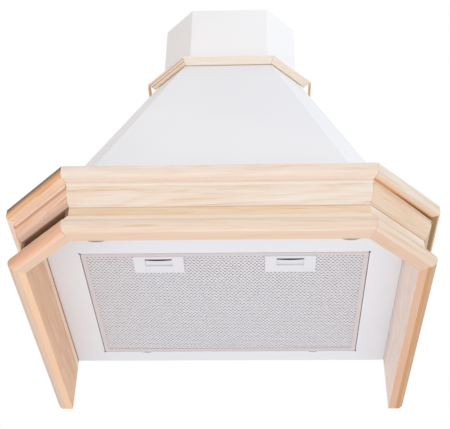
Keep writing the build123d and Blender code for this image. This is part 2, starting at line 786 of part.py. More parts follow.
for place, side in {"left": -1, "right": 1}.items():
    x = side * latch_x
    with BuildPart() as latch:
        with BuildSketch(Plane.XY.offset(filter_z - latch_proud)):
            with Locations((x, latch_y)):
                RectangleRounded(latch_width, latch_length, latch_corner)
        extrude(amount=latch_proud + filter_wall - slip)
        with BuildSketch(Plane.XY.offset(filter_z)):
            with Locations((x, latch_front)):
                Rectangle(latch_body_width, latch_length, align=(Align.CENTER, Align.MIN))
        extrude(amount=body_high - filter_z)
        # slider cavity, open through the front wall only where the bolts pass
        with BuildSketch(Plane.XY.offset(cavity_low)):
            with Locations((x, latch_front + latch_wall)):
                Rectangle(2 * cavity_half, cavity_rear - latch_front - latch_wall,
                          align=(Align.CENTER, Align.MIN))
            with Locations((x - bolt_x, latch_front), (x + bolt_x, latch_front)):
                Rectangle(bolt_width + 2 * seat_gap, 3 * latch_wall)
        extrude(amount=cavity_height, mode=Mode.SUBTRACT)
        # finger opening in the face
        with BuildSketch(Plane.XY.offset(filter_z - latch_proud)):
            with Locations((x, finger_front)):
                Rectangle(finger_width, finger_length, align=(Align.CENTER, Align.MIN))
        extrude(amount=latch_proud + sheet + seat_gap, mode=Mode.SUBTRACT)
    save(latch.part, f"latch_plate_{place}")

    with BuildPart() as slider:
        with BuildSketch(Plane.XY.offset(bolt_low)):
            with Locations((x, tab_front)):
                Rectangle(2 * (cavity_half - seat_gap), tab_rear - tab_front,
                          align=(Align.CENTER, Align.MIN))
            with Locations((x - bolt_x, opening_front - bolt_reach),
                           (x + bolt_x, opening_front - bolt_reach)):
                Rectangle(bolt_width, tab_rear - opening_front + bolt_reach,
                          align=(Align.CENTER, Align.MIN))
            # the tab's front edge is drawn back in a shallow curve
            with BuildLine():
                ThreePointArc((x - finger_width / 2, tab_front), (x, tab_front + tab_sag),
                              (x + finger_width / 2, tab_front))
                Line((x + finger_width / 2, tab_front), (x - finger_width / 2, tab_front))
            make_face(mode=Mode.SUBTRACT)
        extrude(amount=slider_thickness)
    save(slider.part, f"latch_slider_{place}")

    with BuildPart() as spring:
        with BuildSketch(Plane.XZ.offset(-tab_rear)):
            with Locations((x, bolt_low + slider_thickness / 2)):
                Circle(latch_spring_radius)
        extrude(amount=-latch_spring_length)
    save(spring.part, f"latch_spring_{place}")

# ---------------------------------------------------------------- controls in the left rail
control_plane = run_plane(frame_plan, LEFT_CANT)
slot_middle = (slot_low + slot_high) / 2
bezel_length = slot_span(LEFT_CANT) - 2 * seat_gap
bezel_height = slot_high - slot_low - 2 * seat_gap
box_back = -control_depth
box_length = button_count * button_pitch + 2 * control_wall
box_height = button_height + 2 * control_box_margin
shoulder_back = 2 * button_shoulder
button_spots = [(i - (button_count - 1) / 2) * button_pitch for i in range(button_count)]


def control_block(x_from, x_to, height, length, middle=0.0):
    """Box between two depths of the rail's section, centred on the slot."""
    with BuildPart() as block:
        with BuildSketch(control_plane.offset(middle)):
            with Locations((x_from, slot_middle)):
                Rectangle(x_to - x_from, height, align=(Align.MIN, Align.CENTER))
        extrude(amount=length / 2, both=True)
    return block.part


with BuildPart() as control:
    add(control_block(-seat_gap, control_face, bezel_height, bezel_length))
    add(control_block(-control_wall - seat_gap, -seat_gap, bezel_height + 2 * control_flange,
                      bezel_length - 2 * seat_gap))
    add(control_block(box_back, -control_wall - seat_gap, box_height, box_length))
    add(control_block(box_back + control_wall, -control_wall - seat_gap,
                      box_height - 2 * control_wall, box_length - 2 * control_wall),
        mode=Mode.SUBTRACT)
    for spot in button_spots:
        add(control_block(box_back + control_wall, control_face + control_wall,
                          button_height + 2 * button_gap, button_length + 2 * button_gap, spot),
            mode=Mode.SUBTRACT)
save(control.part, "control_housing")

BUTTON_NAMES = ["button_light", "button_speed_1", "button_speed_2", "button_speed_3"]
stop_face = -control_wall - 2 * seat_gap
outward_axis = Axis(control_plane.origin, control_plane.x_dir)
for name, spot in zip(BUTTON_NAMES, button_spots):
    with BuildPart() as button:
        add(control_block(stop_face - shoulder_back, control_face + button_proud,
                          button_height, button_length, spot))
        fillet(button.faces().sort_by(outward_axis)[-1].edges(), radius=button_round)
        add(control_block(stop_face - shoulder_back, stop_face,
                          button_height + 2 * button_shoulder,
                          button_length + 2 * button_shoulder, spot))
    save(button.part, name)

# ---------------------------------------------------------------- blower housing
blower_z = panel_z + blower_level
outlet_z = blower_z + outlet_rise


def scroll_point(angle):
    """Spiral whose radius grows evenly with the angle, from the tongue round to the outlet."""
    share = (angle - tongue_angle) / (360 - tongue_angle)
    radius = volute_small + share * (volute_large - volute_small)
    return (blower_y + radius * cos(radians(angle)), blower_z + radius * sin(radians(angle)))


def scroll_outline(inset=0.0):
    """Three arcs along the spiral, the straight rear wall, the outlet and the tongue."""
    step = (360 - tongue_angle) / 6
    spiral = [scroll_point(tongue_angle + i * step) for i in range(7)]
    rear_top = (spiral[-1][0], outlet_z)
    tongue_top = (spiral[0][0], outlet_z)
    with BuildSketch() as outline:
        with BuildLine():
            for i in (0, 2, 4):
                ThreePointArc(*spiral[i:i + 3])
            Polyline(spiral[-1], rear_top, tongue_top, spiral[0])
        make_face()
        offset(amount=-inset)
    return outline.sketch


outlet_rear = blower_y + volute_large
outlet_front = scroll_point(tongue_angle)[0]
outlet_y = (outlet_rear + outlet_front) / 2

for place, side in {"left": -1, "right": 1}.items():
    half = volute_width / 2
    with BuildPart() as volute:
        with BuildSketch(Plane.YZ):
            add(scroll_outline())
        extrude(amount=side * half)
        with BuildSketch(Plane.YZ):
            add(scroll_outline(volute_wall))
            with Locations((outlet_y, outlet_z)):
                Rectangle(outlet_rear - outlet_front - 2 * volute_wall, 4 * volute_wall)
        extrude(amount=side * (half - volute_wall), mode=Mode.SUBTRACT)
        with BuildSketch(Plane.YZ):
            with Locations((blower_y, blower_z)):
                Circle(inlet_radius)
        extrude(amount=side * (half + volute_wall), mode=Mode.SUBTRACT)
    save(volute.part, f"volute_{place}")

# ---------------------------------------------------------------- impeller, shaft and motor
axis_spot = (blower_y, blower_z)
blade_middle = impeller_radius - blade_inset - blade_length / 2 * cos(radians(blade_tilt))
with BuildPart() as impeller:
    with BuildSketch(Plane.YZ):
        with Locations(axis_spot):
            Circle(impeller_radius)
    extrude(amount=hub_disc / 2, both=True)
    with BuildSketch(Plane.YZ):
        with Locations(axis_spot):
            Circle(hub_radius)
    extrude(amount=hub_radius, both=True)
    with BuildSketch(Plane.YZ):
        with Locations(axis_spot):
            with PolarLocations(blade_middle, blade_count):
                Rectangle(blade_length, blade_thickness, rotation=blade_tilt)
    extrude(amount=impeller_width / 2, both=True)
    for side in (-1, 1):
        with BuildSketch(Plane.YZ.offset(side * impeller_width / 2)):
            with Locations(axis_spot):
                Circle(impeller_radius)
                Circle(impeller_radius - blade_length, mode=Mode.SUBTRACT)
        extrude(amount=-side * ring_thickness)
    with BuildSketch(Plane.YZ):
        with Locations(axis_spot):
            Circle(shaft_radius)
    extrude(amount=impeller_width, both=True, mode=Mode.SUBTRACT)
save(impeller.part, "impeller")

with BuildPart() as motor:
    with BuildSketch(Plane.YZ.offset(motor_left)):
        with Locations(axis_spot):
            Circle(motor_radius)
    extrude(amount=motor_right - motor_left)
    fillet(motor.edges().filter_by(GeomType.CIRCLE), radius=motor_round)
    with BuildSketch(Plane.YZ.offset(motor_right)):
        with Locations(axis_spot):
            Circle(shaft_radius + slip)
    extrude(amount=-motor_bore, mode=Mode.SUBTRACT)
save(motor.part, "motor")

shaft_left = motor_right - motor_bore + shaft_end_gap
with BuildPart() as shaft:
    with BuildSketch(Plane.YZ.offset(shaft_left)):
        with Locations(axis_spot):
            Circle(shaft_radius)
    extrude(amount=hub_radius + shaft_nose - shaft_left)
save(shaft.part, "motor_shaft")

band_inner = motor_radius + slip
band_outer = motor_radius + band_thickness
mount_face = -volute_width / 2
with BuildPart() as motor_bracket:
    with BuildSketch(Plane.YZ.offset(mount_face)):
        with Locations(axis_spot):
            Circle(inlet_radius + arm_ring_outset)
            Circle(inlet_radius - arm_ring_inset, mode=Mode.SUBTRACT)
            with PolarLocations((band_inner + inlet_radius) / 2, arm_count, start_angle=90):
                Rectangle(inlet_radius - band_inner, arm_width)
    extrude(amount=-volute_wall)
    with BuildSketch(Plane.YZ.offset(mount_face)):
        with Locations(axis_spot):
            Circle(band_outer)
    extrude(amount=-band_length)
    with BuildSketch(Plane.YZ.offset(mount_face)):
        with Locations(axis_spot):
            Circle(band_inner)
    extrude(amount=-band_length, mode=Mode.SUBTRACT)
save(motor_bracket.part, "motor_bracket")

# bracket that carries the blower on the back plate
carrier_low = blower_z + carrier_margin
carrier_high = outlet_z - carrier_margin
carrier_front = outlet_rear + seat_gap
carrier_back = -sheet
with BuildPart() as carrier:
    with BuildSketch(Plane.XY.offset(carrier_low)):
        with Locations((0, carrier_front)):
            Rectangle(2 * carrier_half, bracket_sheet, align=(Align.CENTER, Align.MIN))
        for side in (-1, 1):
            with Locations((side * carrier_half, carrier_front)):
                Rectangle(bracket_sheet, carrier_back - carrier_front,
                          align=(Align.MAX if side > 0 else Align.MIN, Align.MIN))
            with Locations((side * (carrier_half - bracket_sheet), carrier_back)):
                Rectangle(carrier_foot, bracket_sheet,
                          align=(Align.MIN if side > 0 else Align.MAX, Align.MAX))
    extrude(amount=carrier_high - carrier_low)
save(carrier.part, "blower_bracket")

# ---------------------------------------------------------------- outlet collar and flaps
pin_z = outlet_z + flap_pin_level
ledge_high = pin_z - flap_pin_radius - flap_pin_seat
with BuildPart() as collar:
    with BuildSketch(Plane.XY.offset(outlet_z)):
        with Locations((0, outlet_y)):
            Rectangle(volute_width, outlet_rear - outlet_front)
    extrude(amount=collar_plate)
    with BuildSketch(Plane.XY.offset(outlet_z)):
        with Locations((0, outlet_y)):
            Circle(collar_radius)
    extrude(amount=collar_plate + collar_height)
    with BuildSketch(Plane.XY.offset(outlet_z)):
        with Locations((0, outlet_y)):
            Circle(collar_radius - collar_wall - ledge_width)
    extrude(amount=collar_plate + collar_height, mode=Mode.SUBTRACT)
    with BuildSketch(Plane.XY.offset(ledge_high)):
        with Locations((0, outlet_y)):
            Circle(collar_radius - collar_wall)
    extrude(amount=collar_height, mode=Mode.SUBTRACT)
save(collar.part, "outlet_collar")

pin_reach = sqrt((collar_radius - collar_wall) ** 2 - (flap_pin_offset + flap_pin_radius) ** 2)
with BuildPart() as flap_pins:
    with BuildSketch(Plane.YZ):
        with Locations((outlet_y - flap_pin_offset, pin_z), (outlet_y + flap_pin_offset, pin_z)):
            Circle(flap_pin_radius)
    extrude(amount=pin_reach - slip, both=True)
save(flap_pins.part, "flap_pins")

flap_low = ledge_high + seat_gap
for place, side in {"front": -1, "rear": 1}.items():
    pin_y = outlet_y + side * flap_pin_offset
    with BuildPart() as flap:
        with BuildSketch(Plane.XY.offset(flap_low)):
            with Locations((0, outlet_y)):
                Circle(flap_radius)
            with Locations((0, pin_y)):
                Rectangle(4 * flap_radius, 4 * flap_radius, mode=Mode.INTERSECT,
                          align=(Align.CENTER, Align.MIN if side > 0 else Align.MAX))
        extrude(amount=flap_thickness)
        # relief beside the knuckle, where the pin's bare ends run on to the collar
        with BuildSketch(Plane.XY.offset(flap_low)):
            with Locations((-flap_radius, pin_y), (flap_radius, pin_y)):
                Rectangle(2 * flap_radius - knuckle_length, 4 * knuckle_radius)
        extrude(amount=flap_thickness, mode=Mode.SUBTRACT)
        with BuildSketch(Plane.YZ):
            with Locations((pin_y, pin_z)):
                Circle(knuckle_radius)
        extrude(amount=knuckle_length / 2, both=True)
        with BuildSketch(Plane.YZ):
            with Locations((pin_y, pin_z)):
                Circle(flap_pin_radius + slip)
        extrude(amount=knuckle_length, both=True, mode=Mode.SUBTRACT)
    save(flap.part, f"flap_{place}")

# ---------------------------------------------------------------- terminal box on the back plate
terminal_low = panel_z + terminal_level
terminal_side = canopy_plan(terminal_low + terminal_height)[0][0]
terminal_x = terminal_side + terminal_gap + terminal_width / 2
gland_x = terminal_x + terminal_width / 2 - 2 * gland_radius
gland_y = -sheet - terminal_depth / 2
gland_low = terminal_low + terminal_height - terminal_wall
with BuildPart() as terminal_box:
    with BuildSketch(Plane.XZ.offset(sheet)):
        with Locations((terminal_x, terminal_low + terminal_height / 2)):
            RectangleRounded(terminal_width, terminal_height, terminal_corner)
    extrude(amount=terminal_depth)
    with BuildSketch(Plane.XZ.offset(sheet + terminal_wall)):
        with Locations((terminal_x, terminal_low + terminal_height / 2)):
            RectangleRounded(terminal_width - 2 * terminal_wall,
                             terminal_height - 2 * terminal_wall,
                             terminal_corner - terminal_wall / 2)
    extrude(amount=terminal_depth - 2 * terminal_wall, mode=Mode.SUBTRACT)
    with BuildSketch(Plane.XY.offset(gland_low)):
        with Locations((gland_x, gland_y)):
            RegularPolygon(gland_radius, 6)
    extrude(amount=gland_height + terminal_wall)
    with BuildSketch(Plane.XY.offset(gland_low - terminal_wall)):
        with Locations((gland_x, gland_y)):
            Circle(gland_bore)
    extrude(amount=gland_height + 3 * terminal_wall, mode=Mode.SUBTRACT)
save(terminal_box.part, "terminal_box")

# ---------------------------------------------------------------- screws
with BuildPart() as screws:
    # down through the canopy's flange into the frame
    with BuildSketch(Plane.XY.offset(flange_top)):
        with Locations(*frame_screw_points):
            Circle(screw_head_radius)
    extrude(amount=screw_head_height)
    fillet(screws.edges().group_by(Axis.Z)[-1], radius=screw_head_round)
    with BuildSketch(Plane.XY.offset(flange_top)):
        with Locations(*frame_screw_points):
            Circle(screw_radius)
    extrude(amount=-screw_length)
    # through the chimney's sides into its wall bracket
    for side in (-1, 1):
        with BuildSketch(Plane.YZ.offset(side * chimney_half_width)):
            with Locations((chimney_screw_y, chimney_screw_z)):
                Circle(screw_head_radius)
        extrude(amount=side * screw_head_height)
        with BuildSketch(Plane.YZ.offset(side * chimney_half_width)):
            with Locations((chimney_screw_y, chimney_screw_z)):
                Circle(screw_radius)
        extrude(amount=-side * chimney_screw_length)
save(screws.part, "screws")
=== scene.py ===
"""Looks of a wall range hood with a mitred wooden frame, a white steel canopy and a grease filter.

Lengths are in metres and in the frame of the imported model: X to the right, Y into the wall, Z up.
"""

from math import cos, pi, radians, sin, sqrt

import bmesh
import bpy
import numpy as np
from mathutils import Matrix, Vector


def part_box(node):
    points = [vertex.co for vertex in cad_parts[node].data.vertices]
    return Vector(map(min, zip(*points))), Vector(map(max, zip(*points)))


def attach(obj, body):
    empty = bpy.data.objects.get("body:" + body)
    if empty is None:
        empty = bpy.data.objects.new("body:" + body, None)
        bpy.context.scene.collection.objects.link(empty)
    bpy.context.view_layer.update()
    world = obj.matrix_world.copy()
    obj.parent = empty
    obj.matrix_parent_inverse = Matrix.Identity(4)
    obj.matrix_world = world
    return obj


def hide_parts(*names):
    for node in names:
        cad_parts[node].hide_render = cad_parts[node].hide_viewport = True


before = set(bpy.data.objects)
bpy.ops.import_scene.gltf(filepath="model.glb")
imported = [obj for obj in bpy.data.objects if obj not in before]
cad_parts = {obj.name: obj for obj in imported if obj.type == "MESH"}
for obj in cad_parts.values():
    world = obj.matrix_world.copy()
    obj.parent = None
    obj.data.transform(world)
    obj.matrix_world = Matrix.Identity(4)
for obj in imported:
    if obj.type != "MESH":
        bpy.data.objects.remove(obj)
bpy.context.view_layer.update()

bl_info = {
    "name": "Wooden Range Hood Looks",
    "version": (1, 0, 0),
    "blender": (4, 5, 0),
    "location": "3D View > Sidebar > Range Hood",
    "description": "Builds the timber mouldings, steel skins, filter sheets, finishes and stage",
    "category": "Object",
}

MM = 0.001
FRAME_HALF_WIDTH, FRAME_DEPTH, FRAME_CUT = 279.5, 503.8, 76.4   # plan of the frame, in mm
ROOT = "hood_body"
FILTER = "grease_filter"
LEFT_SIDE, LEFT_CANT, FRONT, RIGHT_CANT, RIGHT_SIDE = range(5)
UP, DOWN, TO_LEFT, TO_RIGHT = (0, 0, 1), (0, 0, -1), (-1, 0, 0), (1, 0, 0)
LEFT_CANT_OUT, RIGHT_CANT_IN = (-sqrt(0.5), -sqrt(0.5), 0), (-sqrt(0.5), sqrt(0.5), 0)
RIGHT_CANT_BACK = (sqrt(0.5), sqrt(0.5), 0)
SIDES = {"left": LEFT_CANT, "front": FRONT, "right": RIGHT_CANT}
RETURNS = {"left": LEFT_SIDE, "right": RIGHT_SIDE}


def linear(code):
    """sRGB hex colour as linear RGBA."""
    srgb = np.array([int(code[i:i + 2], 16) for i in (1, 3, 5)]) / 255
    rgb = np.where(srgb <= 0.04045, srgb / 12.92, ((srgb + 0.055) / 1.055) ** 2.4)
    return (*rgb, 1.0)


# ------------------------------------------------------------------ settings
def length(name, description, default, unit="LENGTH"):
    """A size in metres, or with unit ROTATION an angle."""
    return bpy.props.FloatProperty(name=name, description=description, default=default,
                                   precision=5, unit=unit)


def colour(name, description, code):
    """A colour given as sRGB hex."""
    return bpy.props.FloatVectorProperty(name=name, description=description, size=3,
                                         subtype="COLOR", min=0, max=1,
                                         default=linear(code)[:3])


class HoodPlanSettings(bpy.types.PropertyGroup):
    """Plan and levels of frame, canopy and chimney."""
    frame_half_width: length("Frame half width", "Middle line to a side board",
                             FRAME_HALF_WIDTH * MM)
    frame_depth: length("Frame depth", "Wall to the front rail's inner face",
                        FRAME_DEPTH * MM)
    frame_cut: length("Frame corner cut", "Cut of each front corner along X and Y",
                      FRAME_CUT * MM)
    cornice_inset: length("Cornice side inset", "The cornice reaches less far at a side", 0.0039)
    canopy_inset: length("Canopy side inset", "The canopy's foot stands inside the frame", 0.0030)
    chimney_half_width: length("Chimney half width", "Middle line to the side face", 0.1308)
    chimney_depth: length("Chimney depth", "Wall to the front face", 0.2723)
    chimney_cut: length("Chimney corner cut", "Cut of each front corner", 0.0555)
    panel_level: length("Panel level", "Underside of the white panel", -0.190)
    canopy_low: length("Canopy foot", "Height of the canopy's foot", -0.187)
    canopy_high: length("Canopy top", "Height at which canopy meets chimney", 0.317)
    chimney_high: length("Chimney top", "Height of the chimney's upper edge", 0.4642)
    sheet: length("Sheet thickness", "Steel sheet", 0.001)
    canopy_flange: length("Canopy flange", "Width of the flanges at foot and top", 0.012)
    chimney_flange: length("Chimney flange", "Width of the flanges at the wall", 0.015)
    fold: length("Fold radius", "Outside radius of the folds in the sheet", 0.0022)


class HoodSteelSettings(bpy.types.PropertyGroup):
    """Whites of the powder coating."""
    canopy: colour("Canopy", "Coating of the canopy", "#F1F3F6")
    chimney: colour("Chimney", "Coating of the chimney cover", "#F8F9FA")
    panel: colour("Panel", "Coating of the underside panel", "#E7E9EE")


class HoodTimberSettings(bpy.types.PropertyGroup):
    """Arrises and grain of the timber."""
    arris: length("Arris", "Rounding of the sanded edges", 0.0009)
    joint: length("Mitre relief", "Rounding at the mitred ends", 0.0004)
    ring: length("Growth ring", "Mean width of one growth ring", 0.0042)
    fibre: length("Fibre", "Width of one visible fibre streak", 0.0016)


class HoodFilterSettings(bpy.types.PropertyGroup):
    """Holes of the filter's face sheet and slits of its rear grille."""
    pitch: length("Hole pitch", "Distance between hole centres in a row", 0.00645)
    row: length("Row step", "Distance between rows of holes", 0.0045)
    hole: length("Hole radius", "Radius of each hole", 0.0018)
    grille_pitch: length("Grille pitch", "Distance between openings of the rear grille", 0.0105)
    grille_row: length("Grille row step", "Distance between rows of the rear grille", 0.0091)
    grille_hole: length("Grille opening", "Radius of an opening of the rear grille", 0.0040)


class HoodStageSettings(bpy.types.PropertyGroup):
    """Floor, lamps and camera."""
    floor_level: length("Floor level", "Height of the floor", -1.70)
    camera_pitch: length("Camera pitch", "Upward tilt", radians(38.09), "ROTATION")
    camera_yaw: length("Camera yaw", "Turn to the right", radians(-3.063), "ROTATION")
    camera_roll: length("Camera roll", "Turn about the line of sight", radians(1.325), "ROTATION")
    focal: bpy.props.FloatProperty(name="Focal length", description="On a 36 mm sensor",
                                   default=76.25, subtype="DISTANCE_CAMERA")
    backdrop: colour("Backdrop", "Colour behind the object", "#FFFFFF")


def settings(name):
    """The scene's settings group of this name."""
    return getattr(bpy.context.scene, name)


# ------------------------------------------------------------------ plan geometry
def offset_path(path, out):
    """An open plan path moved outwards, to the left of its direction.

    path is (P, 2). Each corner slides along its bisector, by out over the cosine of half the turn,
    and each end point moves along the normal of its own edge. out may be an array (N,), and the
    result is (P, N, 2).
    """
    edge = np.diff(path, axis=0)
    edge /= np.linalg.norm(edge, axis=1, keepdims=True)
    normal = np.stack([edge[:, 1], -edge[:, 0]], axis=1)
    before = np.vstack([normal[:1], normal])
    after = np.vstack([normal, normal[-1:]])
    bisector = before + after
    bisector *= 2 / np.sum(bisector ** 2, axis=1, keepdims=True)
    return path[:, None, :] + bisector[:, None, :] * np.atleast_1d(out)[None, :, None]


def cut_corner_path(half_width, depth, cut):
    """Six points from the wall on the left round the cut corners to the wall on the right."""
    left = [(-half_width, 0), (-half_width, cut - depth), (cut - half_width, -depth)]
    return np.array(left + [(-x, y) for x, y in reversed(left)])


def frame_path(inset=0.0):
    """The frame's plan, or the same drawn in at the sides with the canted faces left in place."""
    p = settings("hood_plan")
    return cut_corner_path(p.frame_half_width - inset, p.frame_depth, p.frame_cut - inset)


def chimney_path():
    """The chimney's plan, which is also the canopy's upper edge."""
    p = settings("hood_plan")
    return cut_corner_path(p.chimney_half_width, p.chimney_depth, p.chimney_cut)


def soften(points, radius, closed=True, steps=4):
    """Rounds each corner of a polygon or path with a short quadratic curve.

    The curve starts radius times the tangent of half the turn before the corner, at most 0.45 of
    an edge, and its middle control point is the corner: (1-t)^2 A + 2t(1-t) C + t^2 B.
    points is (P, D) and the result (P * steps, D), with the end points of a path kept.
    """
    before = np.roll(points, 1, axis=0) - points
    after = np.roll(points, -1, axis=0) - points
    before_length = np.linalg.norm(before, axis=1)
    after_length = np.linalg.norm(after, axis=1)
    before_way = before / before_length[:, None]
    after_way = after / after_length[:, None]
    turn = pi - np.arccos(np.clip(np.sum(before_way * after_way, axis=1), -1, 1))
    reach = np.minimum(radius * np.tan(turn / 2), 0.45 * np.minimum(before_length, after_length))
    if not closed:
        reach[[0, -1]] = 0
    t = np.linspace(0, 1, steps)[None, :, None]
    start = (points + before_way * reach[:, None])[:, None, :]
    end = (points + after_way * reach[:, None])[:, None, :]
    curve = (1 - t) ** 2 * start + 2 * t * (1 - t) * points[:, None, :] + t ** 2 * end
    if closed:
        return curve.reshape(-1, points.shape[1])
    return np.vstack([points[:1], curve[1:-1].reshape(-1, points.shape[1]), points[-1:]])


def arc(start, middle, end, steps=12):
    """Points on the circle through three points, from start to end.

    Its centre is where the mid-perpendiculars of the two chords meet, and the points are spaced
    evenly in angle.
    """
    (ax, ay), (bx, by), (cx, cy) = start, middle, end
    twice = 2 * (ax * (by - cy) + bx * (cy - ay) + cx * (ay - by))
    a, b, c = ax * ax + ay * ay, bx * bx + by * by, cx * cx + cy * cy
    centre = np.array([(a * (by - cy) + b * (cy - ay) + c * (ay - by)) / twice,
                       (a * (cx - bx) + b * (ax - cx) + c * (bx - ax)) / twice])
    angles = [np.arctan2(y - centre[1], x - centre[0]) for x, y in (start, middle, end)]
    first, last = np.unwrap(angles)[[0, 2]]
    radius = np.hypot(ax - centre[0], ay - centre[1])
    sweep = np.linspace(first, last, steps)
    return centre + radius * np.stack([np.cos(sweep), np.sin(sweep)], axis=1)


# ------------------------------------------------------------------ meshes
def grid_faces(rings, around):
    """Quads of a rings x around grid of vertices, wrapped round the second direction."""
    i = np.arange(rings - 1)[:, None]
    j = np.arange(around)[None, :]
    k = (j + 1) % around
    quads = np.stack(np.broadcast_arrays(i * around + j, (i + 1) * around + j,
                                         (i + 1) * around + k, i * around + k), axis=-1)
    return quads.reshape(-1, 4)


def link_object(name, data):
    """An object at the origin for a mesh, lamp or camera."""
    thing = bpy.data.objects.new(name, data)
    bpy.context.scene.collection.objects.link(thing)
    return thing


def mount_piece(name, mesh, body, node):
    """The mesh as a piece that rides on a body and stands for a node."""
    piece = link_object(name, mesh)
    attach(piece, body)
    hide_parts(node)
    return piece


def merge_doubles(mesh, turn_outwards):
    """Merges points that coincide and, on a closed shape, turns all faces outwards."""
    shape = bmesh.new()
    shape.from_mesh(mesh)
    bmesh.ops.remove_doubles(shape, verts=shape.verts, dist=1e-6)
    if turn_outwards:
        bmesh.ops.recalc_face_normals(shape, faces=shape.faces)
    shape.to_mesh(mesh)
    shape.free()


def closed_piece(name, shape, node):
    """A closed shape on the hood's body, smooth where its faces meet at under 35 degrees."""
    vertices, faces = shape
    mesh = bpy.data.meshes.new(name)
    mesh.from_pydata(vertices.tolist(), [], faces)
    mesh.validate()
    merge_doubles(mesh, True)
    mesh.polygons.foreach_set("use_smooth", np.ones(len(mesh.polygons), bool))
    mesh.set_sharp_from_angle(angle=radians(35))
    return mount_piece(name, mesh, ROOT, node)


def capped(grid, heights):
    """Vertices and faces of rings of points with their heights, closed by the end rings."""
    vertices = np.concatenate([grid, heights[:, :, None]], axis=2).reshape(-1, 3)
    rings, around = grid.shape[:2]
    ends = [list(range(around)), list(range((rings - 1) * around, rings * around))]
    return vertices, grid_faces(rings, around).tolist() + ends


def shrink(profile, amount):
    """A closed profile drawn in by amount along the mean normal of the edges at each point."""
    edge = np.roll(profile, -1, axis=0) - profile
    edge /= np.maximum(np.linalg.norm(edge, axis=1, keepdims=True), 1e-9)
    normal = np.stack([edge[:, 1], -edge[:, 0]], axis=1)
    mean = normal + np.roll(normal, 1, axis=0)
    mean /= np.maximum(np.linalg.norm(mean, axis=1, keepdims=True), 1e-9)
    area = np.sum(profile[:, 0] * np.roll(profile[:, 1], -1)
                  - profile[:, 1] * np.roll(profile[:, 0], -1))
    return profile - mean * amount * np.sign(area)


def run_of_moulding(path, run, profile, top_limit=None, stations=9):
    """A profile carried along one side of the plan, cut by the mitre planes at both ends.

    profile is (N, 2): reach outwards and height. A profile point with reach r runs parallel to the
    side, between the two corners of the plan moved out by r. The rings next to the ends are drawn
    in a little, so that a fine line shows at each joint. top_limit gives the highest point of the
    profile for a share of the way along.
    """
    relief = settings("hood_timber").joint
    inner = shrink(profile, relief)
    rings = []
    for ring, gap in ((inner, relief / 4), (profile, relief)):
        corners = offset_path(path, ring[:, 0])
        start, end = corners[run], corners[run + 1]
        way = (end - start) / np.linalg.norm(end - start, axis=1, keepdims=True)
        rings.append((start + way * gap, end - way * gap, ring[:, 1]))
    share = np.linspace(0, 1, stations)[:, None, None]
    body = rings[1][0][None] * (1 - share) + rings[1][1][None] * share
    grid = np.concatenate([rings[0][0][None], body, rings[0][1][None]])
    heights = np.repeat(profile[None, :, 1], stations, axis=0)
    heights = np.vstack([inner[:, 1], heights, inner[:, 1]])
    if top_limit is not None:
        along = np.concatenate([[0], np.linspace(0, 1, stations), [1]])
        heights = np.minimum(heights, top_limit(along)[:, None])
    return capped(grid, heights)


def folded_skin(profile, path_at, fold):
    """A sheet profile carried round a folded path, with rounded folds.

    profile is (N, 2): height and offset from the outer face. path_at(height) gives the outer path,
    which is moved by the offset and softened. Both ends are closed by the profile.
    """
    rings = [soften(offset_path(path_at(z), out)[:, 0, :], fold + out, closed=False)
             for z, out in profile]
    grid = np.stack(rings, axis=1)
    return capped(grid, np.broadcast_to(profile[:, 0], grid.shape[:2]))


def sieve(low, high, level, pitch, row_step, hole, thickness, skip=None):
    """A flat sheet with round holes in staggered rows, as one ring of quads for each hole.

    Cells are hexagons, flattened to the step between rows. Twelve points on the hole are joined to
    twelve on its hexagon, which is the six corners and the six mid-edges. Points outside the first
    and last row or column are moved out to the border. skip(x, y) is true for cells left out.
    """
    squash = row_step / (pitch * sqrt(3) / 2)
    rows = int((high[1] - low[1]) / row_step) - 1
    rows -= 1 - rows % 2
    columns = int((high[0] - low[0]) / pitch)
    first_x = (low[0] + high[0] - (columns - 1) * pitch) / 2
    first_y = (low[1] + high[1] - (rows - 1) * row_step) / 2
    i, j = np.meshgrid(np.arange(columns), np.arange(rows), indexing="ij")
    keep = (j % 2 == 0) | (i < columns - 1)
    x = (first_x + (i + 0.5 * (j % 2)) * pitch)[keep]
    y = (first_y + j * row_step)[keep]
    if skip is not None:
        wanted = ~skip(x, y)
        x, y = x[wanted], y[wanted]
    turn = np.arange(12) * pi / 6 + pi / 6
    side = pitch / sqrt(3)
    reach = np.where(np.arange(12) % 2 == 0, side, pitch / 2)
    cell_x = x[:, None] + reach * np.cos(turn)
    cell_y = y[:, None] + reach * np.sin(turn) * squash
    eps = pitch * 0.02
    cell_x = np.where(cell_x <= first_x + eps, low[0], cell_x)
    cell_x = np.where(cell_x >= first_x + (columns - 1) * pitch - eps, high[0], cell_x)
    outer = side / 2 * squash - eps
    cell_y = np.where(cell_y <= first_y - outer, low[1], cell_y)
    cell_y = np.where(cell_y >= first_y + (rows - 1) * row_step + outer, high[1], cell_y)
    hole_x = x[:, None] + hole * np.cos(turn)
    hole_y = y[:, None] + hole * np.sin(turn)
    flat = np.full_like(hole_x, level)
    layers = np.stack([np.stack([cell_x, cell_y, flat], -1), np.stack([hole_x, hole_y, flat], -1),
                       np.stack([hole_x, hole_y, flat + thickness], -1)], axis=1)
    cells = np.arange(len(x))[:, None, None] * 36
    ring = np.arange(2)[None, :, None] * 12
    k = np.arange(12)[None, None, :]
    following = (k + 1) % 12
    quads = np.stack(np.broadcast_arrays(cells + ring + k, cells + ring + following,
                                         cells + ring + 12 + following, cells + ring + 12 + k), -1)
    return layers.reshape(-1, 3), quads.reshape(-1, 4)


